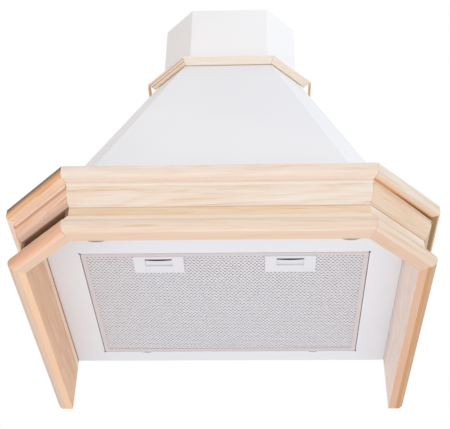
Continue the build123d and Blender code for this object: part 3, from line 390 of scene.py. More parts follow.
def flat_piece(name, shape, node, downwards=True):
    """A one-sided sheet of the filter, whose quads all turn the same way."""
    vertices, faces = shape
    mesh = bpy.data.meshes.new(name)
    order = faces[:, ::-1] if downwards else faces
    mesh.vertices.add(len(vertices))
    mesh.vertices.foreach_set("co", vertices.astype(np.float32).ravel())
    mesh.loops.add(order.size)
    mesh.loops.foreach_set("vertex_index", order.astype(np.int32).ravel())
    mesh.polygons.add(len(order))
    mesh.polygons.foreach_set("loop_start", np.arange(0, order.size, 4, dtype=np.int32))
    mesh.update(calc_edges=True)
    merge_doubles(mesh, False)
    return mount_piece(name, mesh, FILTER, node)


# ------------------------------------------------------------------ profiles, in millimetres
# each point is the reach outwards from the plan and the height over the panel
BOARD = 12.0            # thickness of rails and side boards
CORNICE_TOP, CORNICE_LOW = 3.0, -16.1
CROWN_FOOT, LEFT_CROWN_FOOT = -49.5, -47.2
FRAME_FOOT = -97.4
GAP_DEPTH = 3.8         # how far the right crown is planed down
GAP_START = 0.3         # as a share of its length
TRIM_LOW, TRIM_NOSE, TRIM_TOP = 478.5, 487.0, 512.0
TRIM_REACH, TRIM_SEAT = 28.5, 0.3
JUNCTION = 507.0        # where the canopy meets the chimney
REEDS, REED_BULGE = 3, 0.2


def cornice_profile(inner):
    """Flat board with a bullnose front: lip radius 3, nose radius 6."""
    nose = arc((41.9, -10.1), (40.14, -14.34), (35.9, CORNICE_LOW), 7)
    lip = arc((38.9, CORNICE_TOP), (41.02, 2.12), (41.9, 0.0), 5)
    return np.vstack([[(inner, CORNICE_LOW), (inner, CORNICE_TOP)], lip, nose])


def crown_profile(foot):
    """Upright fillet, a step back, then one flat hollow sweep down to the neck."""
    sweep = arc((25.2, -20.6), (21.8, (foot - 20.6) / 2), (13.4, foot), 14)
    return np.vstack([[(BOARD, foot), (BOARD, CORNICE_LOW), (27.0, CORNICE_LOW), (27.0, -20.6)],
                      sweep])


def base_profile():
    """Lip, sloping shoulder, round nose and a flat foot."""
    shoulder = arc((20.6, -75.6), (24.4, -79.8), (26.0, -85.0), 8)
    nose = arc((26.0, -85.0), (24.2, -92.6), (18.0, FRAME_FOOT), 8)
    return np.vstack([[(BOARD, FRAME_FOOT), (BOARD, -63.5), (13.5, -64.5)], shoulder[:-1], nose])


def trim_profile(lean):
    """Trim that leans on the canopy: three flat reeds below, a nose, and a face back to a lip.

    The reeds are flat arcs between points spaced evenly from the foot's lip up to the nose.
    """
    back = (JUNCTION - TRIM_LOW) * lean + TRIM_SEAT
    ends = np.linspace((back + 1.5, TRIM_LOW), (TRIM_REACH, TRIM_NOSE), REEDS + 1)
    reeds = [arc(a, (a + b) / 2 + (REED_BULGE, -REED_BULGE), b, 5)[:-1]
             for a, b in zip(ends[:-1], ends[1:])]
    return np.vstack([[(TRIM_SEAT, TRIM_TOP), (TRIM_SEAT, JUNCTION), (back, TRIM_LOW)], *reeds,
                      [(TRIM_REACH, TRIM_NOSE), (TRIM_REACH, 488.5), (25.0, 491.0),
                       (2.3, TRIM_TOP)]])


def board_profile():
    """Plain section of a side board, from under the cornice to the foot."""
    return np.array([(0, FRAME_FOOT), (0, CORNICE_LOW), (BOARD, CORNICE_LOW), (BOARD, FRAME_FOOT)])


def placed(profile):
    """Profile in metres, with heights counted from the panel."""
    return profile * MM + (0, settings("hood_plan").panel_level)


# ------------------------------------------------------------------ shader helpers
COLOURS = {"data_type": "RGBA"}
MULTIPLIED = {"data_type": "RGBA", "blend_type": "MULTIPLY"}
ADDED = {"data_type": "RGBA", "blend_type": "ADD"}


def set_inputs(tree, node, inputs):
    """Links each input that is given a socket, and sets the value of each other one."""
    for key, value in inputs.items():
        if isinstance(value, bpy.types.NodeSocket):
            tree.links.new(value, node.inputs[key])
        else:
            node.inputs[key].default_value = value


def add_node(tree, kind, options=None, inputs=None, output=0):
    """Adds one node and gives one of its outputs.

    options are the node's properties, and for a ramp stops, its (position, colour) pairs.
    """
    node = tree.nodes.new("ShaderNode" + kind)
    for key, value in (options or {}).items():
        if key != "stops":
            setattr(node, key, value)
            continue
        elements = node.color_ramp.elements
        while len(elements) < len(value):
            elements.new(0.5)
        for element, (position, tone) in zip(elements, value):
            element.position = position
            element.color = tone
    set_inputs(tree, node, inputs or {})
    return node.outputs[output]


def new_material(name):
    """A material, its node tree and the object coordinates that its patterns start from."""
    material = bpy.data.materials.new(name)
    material.use_nodes = True
    return material, material.node_tree, add_node(material.node_tree, "TexCoord", output="Object")


def coat(tree, **inputs):
    """Sets or links the inputs of the material's one shader."""
    named = {key.replace("_", " "): value for key, value in inputs.items()}
    set_inputs(tree, tree.nodes["Principled BSDF"], named)


def grey(value):
    """A grey as linear RGBA."""
    return (value, value, value, 1.0)


def per(size):
    """Scale of a pattern whose cells are this many mm wide."""
    return 1 / (size * MM)


def grain_noise(tree, source, long, wide, detail, roughness=0.5):
    """Noise drawn out along the grain, with cells long by wide by wide, in mm."""
    cells = add_node(tree, "Mapping", inputs={"Vector": source,
                                              "Scale": (per(long), per(wide), per(wide))})
    return add_node(tree, "TexNoise", inputs={"Vector": cells, "Scale": 1.0, "Detail": detail,
                                              "Roughness": roughness})


def paint_light_and_shade(tree, place, base, tone, *limits):
    """Paints light and shade into the colour: turns base to the tone where all limits hold.

    Each limit is a direction and the distances in mm along it where the tone starts and is full.
    """
    mask = 1.0
    for direction, start, full in limits:
        way = add_node(tree, "VectorMath", {"operation": "DOT_PRODUCT"},
                       {0: place, 1: direction}, "Value")
        ease = add_node(tree, "MapRange", inputs={
            "Value": way, "From Min": start * MM, "From Max": full * MM})
        mask = add_node(tree, "Math", {"operation": "MULTIPLY"}, {0: ease, 1: mask})
    return add_node(tree, "Mix", COLOURS, {0: mask, 6: base, 7: linear(tone)}, 2)


# ------------------------------------------------------------------ finishes
RING_WANDER = 0.022     # how far the slow bend moves the growth rings


def planed_ash(name, angle, pith, pale, deep, streak, edge, *painted_light_parts):
    """Ash, planed and sanded, unfinished: pale, with fine straight fibres and warm growth rings.

    The eye gets long soft bands, a few thin orange streaks, arches where the rings run out on a
    flat face, and a matt surface. Rings are the distance from the pith line, bent by a slow noise,
    over the ring width. edge is the tone of faces that lie flat: painted light on some pieces and
    painted shade on others. Each further argument is a part of painted light or painted shade, a
    tone and its limits, as the function that paints light and shade takes them.
    """
    t = settings("hood_timber")
    material, tree, place = new_material(name)
    along = add_node(tree, "Mapping", inputs={"Vector": place,
                                              "Rotation": (0, 0, radians(-angle))})
    # the pith line lies a degree or two off the board, so that rings run out on its faces
    log = add_node(tree, "Mapping", inputs={
        "Vector": along, "Location": (0, pith[0] * MM, pith[1] * MM),
        "Rotation": (0, radians(0.9), radians(1.6))})
    # a slow bend of the rings, two hands long and a finger or two wide
    bend = grain_noise(tree, log, 294.1, 41.67, 2.5)
    flat = add_node(tree, "VectorMath", {"operation": "MULTIPLY"}, {0: log, 1: (0, 1, 1)})
    radius = add_node(tree, "VectorMath", {"operation": "LENGTH"}, {0: flat}, "Value")
    bent = add_node(tree, "Math", {"operation": "MULTIPLY_ADD"},
                    {0: bend, 1: RING_WANDER, 2: radius})
    counted = add_node(tree, "Math", {"operation": "DIVIDE"}, {0: bent, 1: t.ring})
    ring = add_node(tree, "Math", {"operation": "FRACT"}, {0: counted})
    late = add_node(tree, "ValToRGB", {"stops": [
        (0.0, grey(0.22)), (0.14, grey(0.0)), (0.55, grey(0.06)), (0.88, grey(0.50)),
        (1.0, grey(0.26))]}, {"Fac": ring})
    # fibres, drawn a little coarser than life so that they show from a step away
    fibre = grain_noise(tree, along, 111.1, t.fibre / MM, 4.0, 0.6)
    fine = add_node(tree, "ValToRGB", {"stops": [(0.36, grey(0.0)), (0.60, grey(1.0))]},
                    {"Fac": fibre})
    # warm streaks, a millimetre or two wide and a hand long
    warm = grain_noise(tree, log, 142.9, 3.846, 2.0)
    warm_mask = add_node(tree, "ValToRGB", {"stops": [(0.61, grey(0.0)), (0.74, grey(0.7))]},
                         {"Fac": warm})
    # slow change of tone along and across each board
    drift = grain_noise(tree, along, 250.0, 16.67, 3.0)
    drift_mask = add_node(tree, "ValToRGB", {"stops": [(0.36, grey(0.0)), (0.68, grey(0.55))]},
                          {"Fac": drift})
    pale, deep, streak = linear(pale), linear(deep), linear(streak)
    base = add_node(tree, "Mix", COLOURS, {0: late, 6: pale, 7: deep}, 2)
    base = add_node(tree, "Mix", COLOURS, {0: drift_mask, 6: base, 7: deep}, 2)
    fibrous = add_node(tree, "Mix", MULTIPLIED, {0: 0.2, 6: base, 7: streak}, 2)
    base = add_node(tree, "Mix", COLOURS, {0: fine, 6: fibrous, 7: base}, 2)
    base = add_node(tree, "Mix", COLOURS, {0: warm_mask, 6: base, 7: streak}, 2)
    # tops and undersides take the edge tone: painted light on some pieces, painted shade on others
    normal = add_node(tree, "NewGeometry", output="Normal")
    upright = add_node(tree, "SeparateXYZ", inputs={0: normal}, output="Z")
    lying = add_node(tree, "Math", {"operation": "ABSOLUTE"}, {0: upright})
    flat_face_light_mask = add_node(tree, "ValToRGB", {"stops": [(0.93, grey(0.0)), (0.99, grey(0.65))]},
                          {"Fac": lying})
    base = add_node(tree, "Mix", COLOURS, {0: flat_face_light_mask, 6: base, 7: linear(edge)}, 2)
    # painted light and shade on parts of the piece
    for part in painted_light_parts:
        base = paint_light_and_shade(tree, place, base, *part)
    bump = add_node(tree, "Bump", inputs={"Strength": 0.2, "Distance": 0.0002, "Height": fibre})
    coat(tree, Base_Color=base, Normal=bump, IOR=1.5, Roughness=0.6, Specular_IOR_Level=0.3)
    return material


def powder_coated_steel(part, cloudy):
    """Steel sheet, powder coated white: even, softly shining, with a faint orange peel."""
    white = (*getattr(settings("hood_steel"), part), 1.0)
    material, tree, place = new_material("powder_coated_steel_" + part)
    peel = add_node(tree, "TexNoise", inputs={"Vector": place, "Scale": per(1.1), "Detail": 2.0})
    cloud = add_node(tree, "TexNoise", inputs={"Vector": place, "Scale": per(312.5),
                                               "Detail": 2.0})
    tone = add_node(tree, "ValToRGB", {"stops": [(0.3, white), (0.75, linear(cloudy))]},
                    {"Fac": cloud})
    gloss = add_node(tree, "ValToRGB", {"stops": [(0.3, grey(0.38)), (0.7, grey(0.46))]},
                     {"Fac": peel})
    bump = add_node(tree, "Bump", inputs={"Strength": 0.12, "Distance": 0.0001, "Height": peel})
    coat(tree, Base_Color=tone, Roughness=gloss, Normal=bump, IOR=1.5)
    return material


def rolled_metal(name, code, dark, roughness, grit, stretch=(1, 1, 1), metallic=1.0, strength=0.2):
    """Sheet or drawn metal: fine rolling lines, grit mm wide, and a slightly uneven sheen."""
    material, tree, place = new_material(name)
    drawn = add_node(tree, "Mapping", inputs={"Vector": place, "Scale": stretch})
    line = add_node(tree, "TexNoise", inputs={"Vector": drawn, "Scale": per(grit), "Detail": 3.0})
    tone = add_node(tree, "ValToRGB", {"stops": [(0.3, linear(dark)), (0.65, linear(code))]},
                    {"Fac": line})
    gloss = add_node(tree, "ValToRGB", {"stops": [(0.3, grey(roughness - 0.06)),
                                                  (0.7, grey(roughness + 0.06))]}, {"Fac": line})
    bump = add_node(tree, "Bump", inputs={"Strength": strength, "Distance": 0.00008,
                                          "Height": line})
    coat(tree, Base_Color=tone, Roughness=gloss, Normal=bump, Metallic=metallic)
    return material


def spangled_zinc(name):
    """Hot-dip galvanised sheet: grey crystals some 8 mm wide, each with its own tone and sheen."""
    material, tree, place = new_material(name)
    crystal = add_node(tree, "TexVoronoi", {"feature": "F1"}, {"Vector": place, "Scale": per(8)},
                       "Color")
    tone = add_node(tree, "ValToRGB", {"stops": [(0.2, linear("#9DA1A4")),
                                                 (0.8, linear("#C3C6C8"))]}, {"Fac": crystal})
    gloss = add_node(tree, "ValToRGB", {"stops": [(0.2, grey(0.36)), (0.8, grey(0.55))]},
                     {"Fac": crystal})
    coat(tree, Base_Color=tone, Roughness=gloss, Metallic=1.0)
    return material


def moulded_plastic(name, code, roughness, tint=None, hidden=None):
    """Moulded ABS or PP: even colour, with the fine grain of an eroded mould.

    hidden is a tone and its limit, as the function that paints light and shade takes them: painted
    shade on the unlit faces inside a finger slot.
    """
    material, tree, place = new_material(name)
    skin = add_node(tree, "TexNoise", inputs={"Vector": place, "Scale": per(0.8), "Detail": 2.0})
    tone = add_node(tree, "ValToRGB", {"stops": [(0.3, linear(tint or code)),
                                                 (0.6, linear(code))]}, {"Fac": skin})
    # painted shade on the unlit faces inside a finger slot
    if hidden:
        tone = paint_light_and_shade(tree, place, tone, *hidden)
    bump = add_node(tree, "Bump", inputs={"Strength": 0.12, "Distance": 0.0001, "Height": skin})
    coat(tree, Base_Color=tone, Normal=bump, IOR=1.53, Roughness=roughness)
    return material


def knitted_mesh(name):
    """Pack of expanded aluminium mesh: bright crossing strands, some 2 mm apart, over painted
    shade.
    """
    material, tree, place = new_material(name)
    bent = add_node(tree, "TexNoise", inputs={"Vector": place, "Scale": per(6.25), "Detail": 2.0},
                    output="Color")
    moved = add_node(tree, "Mix", ADDED, {0: 0.004, 6: place, 7: bent}, 2)
    strand = add_node(tree, "TexVoronoi", {"feature": "DISTANCE_TO_EDGE"},
                      {"Vector": moved, "Scale": per(2.2)})
    # the gaps between the strands are darkened: painted shade
    tone = add_node(tree, "ValToRGB", {"stops": [(0.05, linear("#C9C7C8")),
                                                 (0.30, linear("#6E6B6C"))]}, {"Fac": strand})
    bump = add_node(tree, "Bump", {"invert": True}, {"Strength": 0.8, "Distance": 0.0008,
                                                     "Height": strand})
    coat(tree, Base_Color=tone, Normal=bump, Metallic=0.9, Roughness=0.5)
    return material


def frosted_glass(name):
    """Frosted lamp glass: milky, with a fine ripple about a millimetre wide."""
    material, tree, place = new_material(name)
    ripple = add_node(tree, "TexNoise", inputs={"Vector": place, "Scale": per(1.111),
                                                "Detail": 1.0})
    bump = add_node(tree, "Bump", inputs={"Strength": 0.3, "Distance": 0.0002, "Height": ripple})
    coat(tree, Base_Color=linear("#F4F5F0"), Normal=bump, IOR=1.5, Roughness=0.35,
         Transmission_Weight=0.6)
    return material


# ------------------------------------------------------------------ timber
# distance of the canted rails' inner faces from the middle of the wall line, in mm
CANT_FACE = (FRAME_HALF_WIDTH + FRAME_DEPTH - FRAME_CUT) / sqrt(2)

# painted light and shade: a tone, then each direction with the distances where the tone starts and
# is full.
# inner faces of the returns under the panel: a dark line of painted contact shade along the
# panel on the left, and painted light on the right
PANEL_CONTACT_SHADE = ("#C07E44", (UP, -194.6, -192.8), (TO_RIGHT, -282.0, -281.0))
LIT_INSIDE_FACE = ("#F1DDD3", (TO_LEFT, -281.5, -280.5))
# front: painted highlight on the fillet of the crown, and painted light that lifts the shade on
# the shoulder of the base
FRONT_FILLET_HIGHLIGHT = ("#F5EADC", (UP, -211.8, -210.6))
LIT_SHOULDER = ("#F3E6D4", (UP, -271.0, -264.5))
# orange lines of painted shade in the grooves between the reeds of the left trim
UPPER_REED_SHADE = ("#E0A064", (UP, 294.5, 294.9), (DOWN, -295.6, -295.2))
LOWER_REED_SHADE = ("#E0A064", (UP, 291.6, 292.0), (DOWN, -292.8, -292.4))
# left crown: painted highlight on the fillet, painted shade in the hollow under it, and painted
# shade on the foot
LEFT_FILLET_HIGHLIGHT = ("#F7DDCB", (UP, -212.0, -210.6))
HOLLOW_SHADE = ("#D3A084", (UP, -218.5, -214.5), (DOWN, 211.0, 213.5))
FOOT_SHADE = ("#DFBBA9", (DOWN, 229.0, 233.5))
# painted shade on the nose of the left cornice, along its upper edge only
SHADED_TOP_EDGE = ("#7A5638", (UP, -202.0, -191.0), (LEFT_CANT_OUT, CANT_FACE + 35.0, CANT_FACE + 39.0))
# painted shadow, olive, on the underside of the right cornice return
UNDERSIDE_SHADOW = ("#A98C63", (DOWN, 205.2, 205.8))
# control slot: painted shade, dark brown, on its faces from the depth of its bezel outwards
SLOT_SHADE = ("#8C6B4F", (UP, -254.6, -254.4), (DOWN, 236.9, 237.1),
             (LEFT_CANT_OUT, CANT_FACE + 4.4, CANT_FACE + 4.6))
# underside of the right cornice: painted shade, orange towards the crown, and a brown painted
# shadow over the gap above it
ORANGE_UNDERSIDE_SHADE = ("#DC9A62", (DOWN, 205.2, 205.8),
               (RIGHT_CANT_IN, -CANT_FACE - 33.0, -CANT_FACE - 28.0))
GAP_SHADOW = ("#A4713F", (DOWN, 205.2, 205.8),
             (RIGHT_CANT_IN, -CANT_FACE - 30.5, -CANT_FACE - 27.0),
             (RIGHT_CANT_BACK, -190.0, -165.0))

# tones of each length of timber: pith offset in mm, pale, deep, streak, edge and parts of painted
# light and shade
# differences of tone between the pieces are partly the wood's own and partly painted light and
# shade: warmer and darker on the left side and on the right returns, paler on the right
TIMBER = {
    "cornice_front": ((60, 150), "#F0E7DB", "#EBD5C1", "#E2B993", "#EFDCD1"),
    "cornice_left": ((-90, 120), "#F7CFA2", "#E7A974", "#D3884D", "#FBE7D3", SHADED_TOP_EDGE),
    "cornice_right": ((80, 130), "#EBE3D7", "#E5CBB2", "#DCAF87", "#EDCFB3",
                      ORANGE_UNDERSIDE_SHADE, GAP_SHADOW),
    "cornice_return_left": ((40, 110), "#FCF0DF", "#F9D5BA", "#EAB48F", "#FCEADA", PANEL_CONTACT_SHADE),
    "cornice_return_right": ((50, 120), "#EFD3B4", "#DDB083", "#C99159", "#E2C39A", LIT_INSIDE_FACE,
                             UNDERSIDE_SHADOW),
    "crown_moulding_front": ((35, 90), "#F0EAE1", "#EBD3B9", "#DFAA77", "#E6CAAD", FRONT_FILLET_HIGHLIGHT),
    "crown_moulding_left": ((30, 100), "#FCE0C9", "#F3BB9E", "#DE9A76", "#F6C09F",
                            HOLLOW_SHADE, FOOT_SHADE, LEFT_FILLET_HIGHLIGHT),
    "crown_moulding_right": ((44, 96), "#EDDCC8", "#E4C9AB", "#DAAE87", "#E1B38D"),
    "crown_return_left": ((30, 100), "#F0CFB6", "#DFB090", "#CB9068", "#E0AE8C"),
    "crown_return_right": ((44, 96), "#DCC8AC", "#CDB492", "#BE9C74", "#D2B48E"),
    "rail_front": ((25, 140), "#EFDEC7", "#E6CAA6", "#D8AA74", "#DDBFAB"),
    "rail_left": ((25, 130), "#E1C8AF", "#CAA37D", "#B5885B", "#E8C6B2", SLOT_SHADE),
    "rail_right": ((25, 150), "#F5EEE6", "#EAD6BE", "#D8B692", "#D2A88B"),
    "base_moulding_front": ((42, 150), "#E9DBC9", "#E5CAB4", "#DBAD8B", "#E3C2B1",
                            LIT_SHOULDER),
    "base_moulding_left": ((-38, 160), "#EEC8AB", "#E3A986", "#D18D5C", "#EED0B9"),
    "base_moulding_right": ((38, 170), "#EADECF", "#E1C8AF", "#D5AF8A", "#DEB398"),
    "base_return_left": ((-40, 165), "#E2CAB8", "#DAB8A0", "#CDA180", "#DFC4AE"),
    "base_return_right": ((40, 165), "#D3B193", "#C99F7E", "#BC8A63", "#CC9158"),
    "side_board_left": ((70, 200), "#F6D1B3", "#E8BA96", "#D49E75", "#EECBA9"),
    "side_board_right": ((-75, 210), "#FCF6EE", "#FCDFD2", "#F2C5AD", "#C8894F"),
    # the dark edge tones of the front, left and right trims are painted shadow on the flat strip of
    # each foot
    "chimney_trim_front": ((30, -400), "#FCFAF2", "#FCECD4", "#F1CA9F", "#A89675"),
    "chimney_trim_left": ((-35, -400), "#FBF4E8", "#FAE6CE", "#F0BE84", "#A8703F",
                          UPPER_REED_SHADE, LOWER_REED_SHADE),
    "chimney_trim_right": ((35, -400), "#FBF6EA", "#F8E6CC", "#EAC59C", "#8A7450"),
    "trim_returns": ((30, -410), "#F2D3AC", "#E8B986", "#D69C62", "#E8B57C"),
    "corner_blocks": ((20, 120), "#E9CBA6", "#DDB384", "#C99A66", "#E0BA90"),
}


def timber_angle(node):
    """Direction of the grain, which runs along the piece."""
    if node == "corner_blocks" or node.endswith("_front"):
        return 0
    if "return" in node or "board" in node:
        return 90
    return -45 if node.endswith("_left") else 45


def timber_material(node):
    """The node's own length of ash, made once."""
    name = "planed_ash_" + node
    if name in bpy.data.materials:
        return bpy.data.materials[name]
    return planed_ash(name, timber_angle(node), *TIMBER[node])


def dress(piece, material):
    """Gives the piece this material alone."""
    piece.data.materials.clear()
    piece.data.materials.append(material)


def timber_piece(node, shape):
    """A length of timber with sanded arrises in place of its node."""
    dress(closed_piece(node + "_sanded", shape, node), timber_material(node))


# ------------------------------------------------------------------ operators
BEND = 0.0012           # inside of the canopy's lower fold
# the face sheet has no holes this near to the middle of a latch plate, up to a lap short of its
# rear edge, in mm
LATCH_COVER, LATCH_LAP = 35.2, 1.0
LAMPS = (               # name, place, aim, size, power and tint
    ("soft_box_right", (1.7, -2.2, 0.9), (0, -0.3, 0.1), 1.6, 13.5, (0.97, 0.98, 1.0)),
    ("soft_box_low", (-0.3, -1.5, -1.6), (0, -0.3, -0.2), 1.6, 11.0, (0.97, 0.97, 1.0)),
    ("soft_box_floor", (0.15, -0.3, -1.66), (0.15, -0.29, 0), 1.8, 6.2, (0.92, 0.96, 1.0)))
CAMERA_SPOT = (0.0539, -1.5434, -1.0574)
CAMERA_SHIFT = (0.0158, -0.0033)
FLOOR_REACH = 6.0       # from the middle of the floor to each side


def standing(right, up, back, spot):
    """Matrix of an object whose own axes are right, up and back, at the spot."""
    return Matrix([[right[i], up[i], back[i], spot[i]] for i in range(3)] + [[0, 0, 0, 1]])


class HOOD_OT_frame_mouldings(bpy.types.Operator):
    """Cornice, crown moulding and base moulding round front and sides, with sanded arrises"""
    bl_idname = "hood.frame_mouldings"
    bl_label = "Frame mouldings"

    def execute(self, context):
        p = settings("hood_plan")
        arris = settings("hood_timber").arris
        plan, narrow = frame_path(), frame_path(p.cornice_inset)
        top = p.panel_level + CORNICE_LOW * MM

        # the right crown is planed down towards the mitre from both sides
        def cant_top(along):
            return top - GAP_DEPTH * MM * np.clip(along - GAP_START, 0, 1) / (1 - GAP_START)

        def side_top(along):
            return top - GAP_DEPTH * MM * np.clip(GAP_START - along, 0, 1) / GAP_START

        planed = {RIGHT_CANT: cant_top, RIGHT_SIDE: side_top}
        runs = [("cornice_" + place, "crown_moulding_" + place, "base_moulding_" + place, run, 0.0)
                for place, run in SIDES.items()]
        runs += [("cornice_return_" + place, "crown_return_" + place, "base_return_" + place, run,
                  p.cornice_inset / MM) for place, run in RETURNS.items()]
        for cornice, crown, base, run, inner in runs:
            timber_piece(cornice, run_of_moulding(
                narrow, run, soften(placed(cornice_profile(inner)), arris)))
            foot = LEFT_CROWN_FOOT if run == LEFT_CANT else CROWN_FOOT
            timber_piece(crown, run_of_moulding(
                plan, run, soften(placed(crown_profile(foot)), 0.4 * arris), planed.get(run), 21))
            timber_piece(base, run_of_moulding(
                plan, run, soften(placed(base_profile()), 0.3 * arris)))
        return {"FINISHED"}


class HOOD_OT_side_boards(bpy.types.Operator):
    """Side boards of the frame, back to the wall"""
    bl_idname = "hood.side_boards"
    bl_label = "Side boards"

    def execute(self, context):
        profile = soften(placed(board_profile()), 0.3 * settings("hood_timber").arris)
        for place, run in RETURNS.items():
            timber_piece("side_board_" + place, run_of_moulding(frame_path(), run, profile))
        return {"FINISHED"}


class HOOD_OT_chimney_trim(bpy.types.Operator):
    """Reeded trim where the canopy meets the chimney"""
    bl_idname = "hood.chimney_trim"
    bl_label = "Chimney trim"

    def execute(self, context):
        p = settings("hood_plan")
        rise = p.canopy_high - p.canopy_low
        lean = {"front": (p.frame_depth - p.chimney_depth) / rise}
        cant = ((p.frame_half_width + p.frame_depth - p.frame_cut)
                - (p.chimney_half_width + p.chimney_depth - p.chimney_cut)) / sqrt(2) / rise
        for place, run in SIDES.items():
            profile = soften(placed(trim_profile(lean.get(place, cant))),
                             0.5 * settings("hood_timber").arris)
            timber_piece("chimney_trim_" + place, run_of_moulding(chimney_path(), run, profile))
        return {"FINISHED"}


class HOOD_OT_steel_skins(bpy.types.Operator):
    """Canopy and chimney cover as folded sheet with rounded folds"""
    bl_idname = "hood.steel_skins"
    bl_label = "Canopy and chimney"

    def execute(self, context):
        p = settings("hood_plan")
        foot, top = frame_path(p.canopy_inset), chimney_path()

        def canopy_at(z):
            share = (z - p.canopy_low) / (p.canopy_high - p.canopy_low)
            return foot + share * (top - foot)

        low, high, sheet, flange = p.canopy_low, p.canopy_high, p.sheet, p.canopy_flange
        bend = [(low + sheet + BEND * (1 - cos(a)), BEND * (1 - sin(a)))
                for a in np.linspace(0, pi / 2, 4)]
        profile = np.array([(low, flange), (low, -sheet), (high - 2 * sheet, -sheet),
                            (high - sheet, -sheet - 0.4 * MM), (high - sheet, -flange),
                            (high, -flange), (high, 0.0)]
                           + [(z, 0.0) for z in np.linspace(high, low + sheet, 24)[1:-1]]
                           + bend[::-1] + [(low + sheet, flange)])
        canopy = closed_piece("canopy_folded_skin", folded_skin(profile, canopy_at, p.fold),
                              "canopy_shell")
        back = np.array([(-p.chimney_half_width + p.chimney_flange, 0.0)])
        chimney = np.vstack([back, top, -back * (1, -1)])
        profile = np.array([(high, 0.0), (p.chimney_high, 0.0), (p.chimney_high, -sheet),
                            (high, -sheet)])
        cover = closed_piece("chimney_folded_skin",
                             folded_skin(profile, lambda z: chimney, p.fold),
                             "chimney_cover")
        dress(canopy, powder_coated_steel("canopy", "#EAEDF2"))
        dress(cover, powder_coated_steel("chimney", "#F1F3F6"))
        return {"FINISHED"}


class HOOD_OT_filter_sheets(bpy.types.Operator):
    """Perforated face sheet and rear grille of the grease filter"""
    bl_idname = "hood.filter_sheets"
    bl_label = "Filter sheets"

    def execute(self, context):
        f = settings("hood_filter")
        (x0, y0, z0), (x1, y1, z1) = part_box("filter_face_sheet")
        plates = [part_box("latch_plate_" + side) for side in ("left", "right")]

        def under_latch(x, y):
            hidden = np.zeros(x.shape, bool)
            for low, high in plates:
                hidden |= ((abs(x - (low.x + high.x) / 2) < LATCH_COVER * MM)
                           & (y < high.y - LATCH_LAP * MM))
            return hidden

        holes = sieve((x0, y0), (x1, y1), z0, f.pitch, f.row, f.hole, z1 - z0, under_latch)
        face = flat_piece("filter_perforated_sheet", holes, "filter_face_sheet")
        dress(face, rolled_metal("satin_aluminium_face", "#EAEAEE", "#DBDBE0", 0.42, 1.2,
                                 (1, 12, 12), metallic=0.35))
        (x0, y0, z0), (x1, y1, z1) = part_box("filter_back_grille")
        openings = sieve((x0, y0), (x1, y1), z1, f.grille_pitch, f.grille_row, f.grille_hole,
                         z0 - z1)
        rear = flat_piece("filter_rear_grille_sheet", openings,
                          "filter_back_grille", downwards=False)
        dress(rear, rolled_metal("mill_aluminium_grille", "#C9CACC", "#A9AAAD", 0.4, 1.2,
                                 (12, 1, 12)))
        return {"FINISHED"}


class HOOD_OT_finishes(bpy.types.Operator):
    """Finishes of the carried-over parts"""
    bl_idname = "hood.finishes"
    bl_label = "Finishes"

    def execute(self, context):
        zinc = spangled_zinc("galvanised_steel_sheet")
        spring = rolled_metal("drawn_spring_steel", "#A7A9AC", "#84868A", 0.3, 0.6)
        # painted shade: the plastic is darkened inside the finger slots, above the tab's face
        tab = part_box("latch_slider_left")[0].z / MM
        plate = moulded_plastic("moulded_abs_latch_plate", "#E1E3E8", 0.45,
                                hidden=("#3C3D43", (UP, tab + 0.1, tab + 0.3)))
        slider = moulded_plastic("moulded_abs_latch_slider", "#DFE1E6", 0.45,
                                 hidden=("#3C3D43", (UP, tab + 0.2, tab + 0.4)))
        dark = moulded_plastic("moulded_abs_control_brown", "#5B4730", 0.5, tint="#4E3C28")
        buttons = moulded_plastic("moulded_abs_button_brown", "#544129", 0.38, tint="#493823")
        grey_pp = moulded_plastic("moulded_pp_blower_grey", "#8A8D8F", 0.5, tint="#7E8183")
        black = moulded_plastic("moulded_pp_black", "#2A2B2D", 0.48, tint="#222325")
        finishes = {
            "underside_panel": powder_coated_steel("panel", "#E2E5EB"),
            "back_plate": zinc, "chimney_bracket": zinc, "blower_bracket": zinc,
            "motor_bracket": zinc,
            "lamp_housings": rolled_metal("polished_chrome_lamp_ring", "#BDBAAE", "#A9A598",
                                          0.16, 2.0, strength=0.05),
            "lamp_lenses": frosted_glass("frosted_lamp_glass"),
            "filter_frame": rolled_metal("satin_aluminium_filter_frame", "#E6DFE0", "#D8D0D2",
                                         0.40, 0.9, (1, 10, 10), metallic=0.5),
            "filter_mesh_pack": knitted_mesh("knitted_aluminium_mesh"),
            "latch_plate_left": plate, "latch_plate_right": plate,
            "latch_slider_left": slider, "latch_slider_right": slider,
            "latch_spring_left": spring, "latch_spring_right": spring,
            "motor_shaft": spring, "flap_pins": spring,
            "control_housing": dark, "button_light": buttons, "button_speed_1": buttons,
            "button_speed_2": buttons, "button_speed_3": buttons,
            "volute_left": grey_pp, "volute_right": grey_pp, "outlet_collar": grey_pp,
            "impeller": black, "flap_front": black, "flap_rear": black, "terminal_box": black,
            "motor": rolled_metal("lacquered_motor_shell", "#54575A", "#45484B", 0.4, 1.5,
                                  metallic=0.6),
            "screws": rolled_metal("zinc_plated_screw_steel", "#C6C5BC", "#A8A79E", 0.32, 0.6),
        }
        for node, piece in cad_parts.items():
            if node in TIMBER:
                dress(piece, timber_material(node))
            elif node in finishes:
                dress(piece, finishes[node])
            elif not piece.hide_render:
                raise RuntimeError("no finish for " + node)
        return {"FINISHED"}


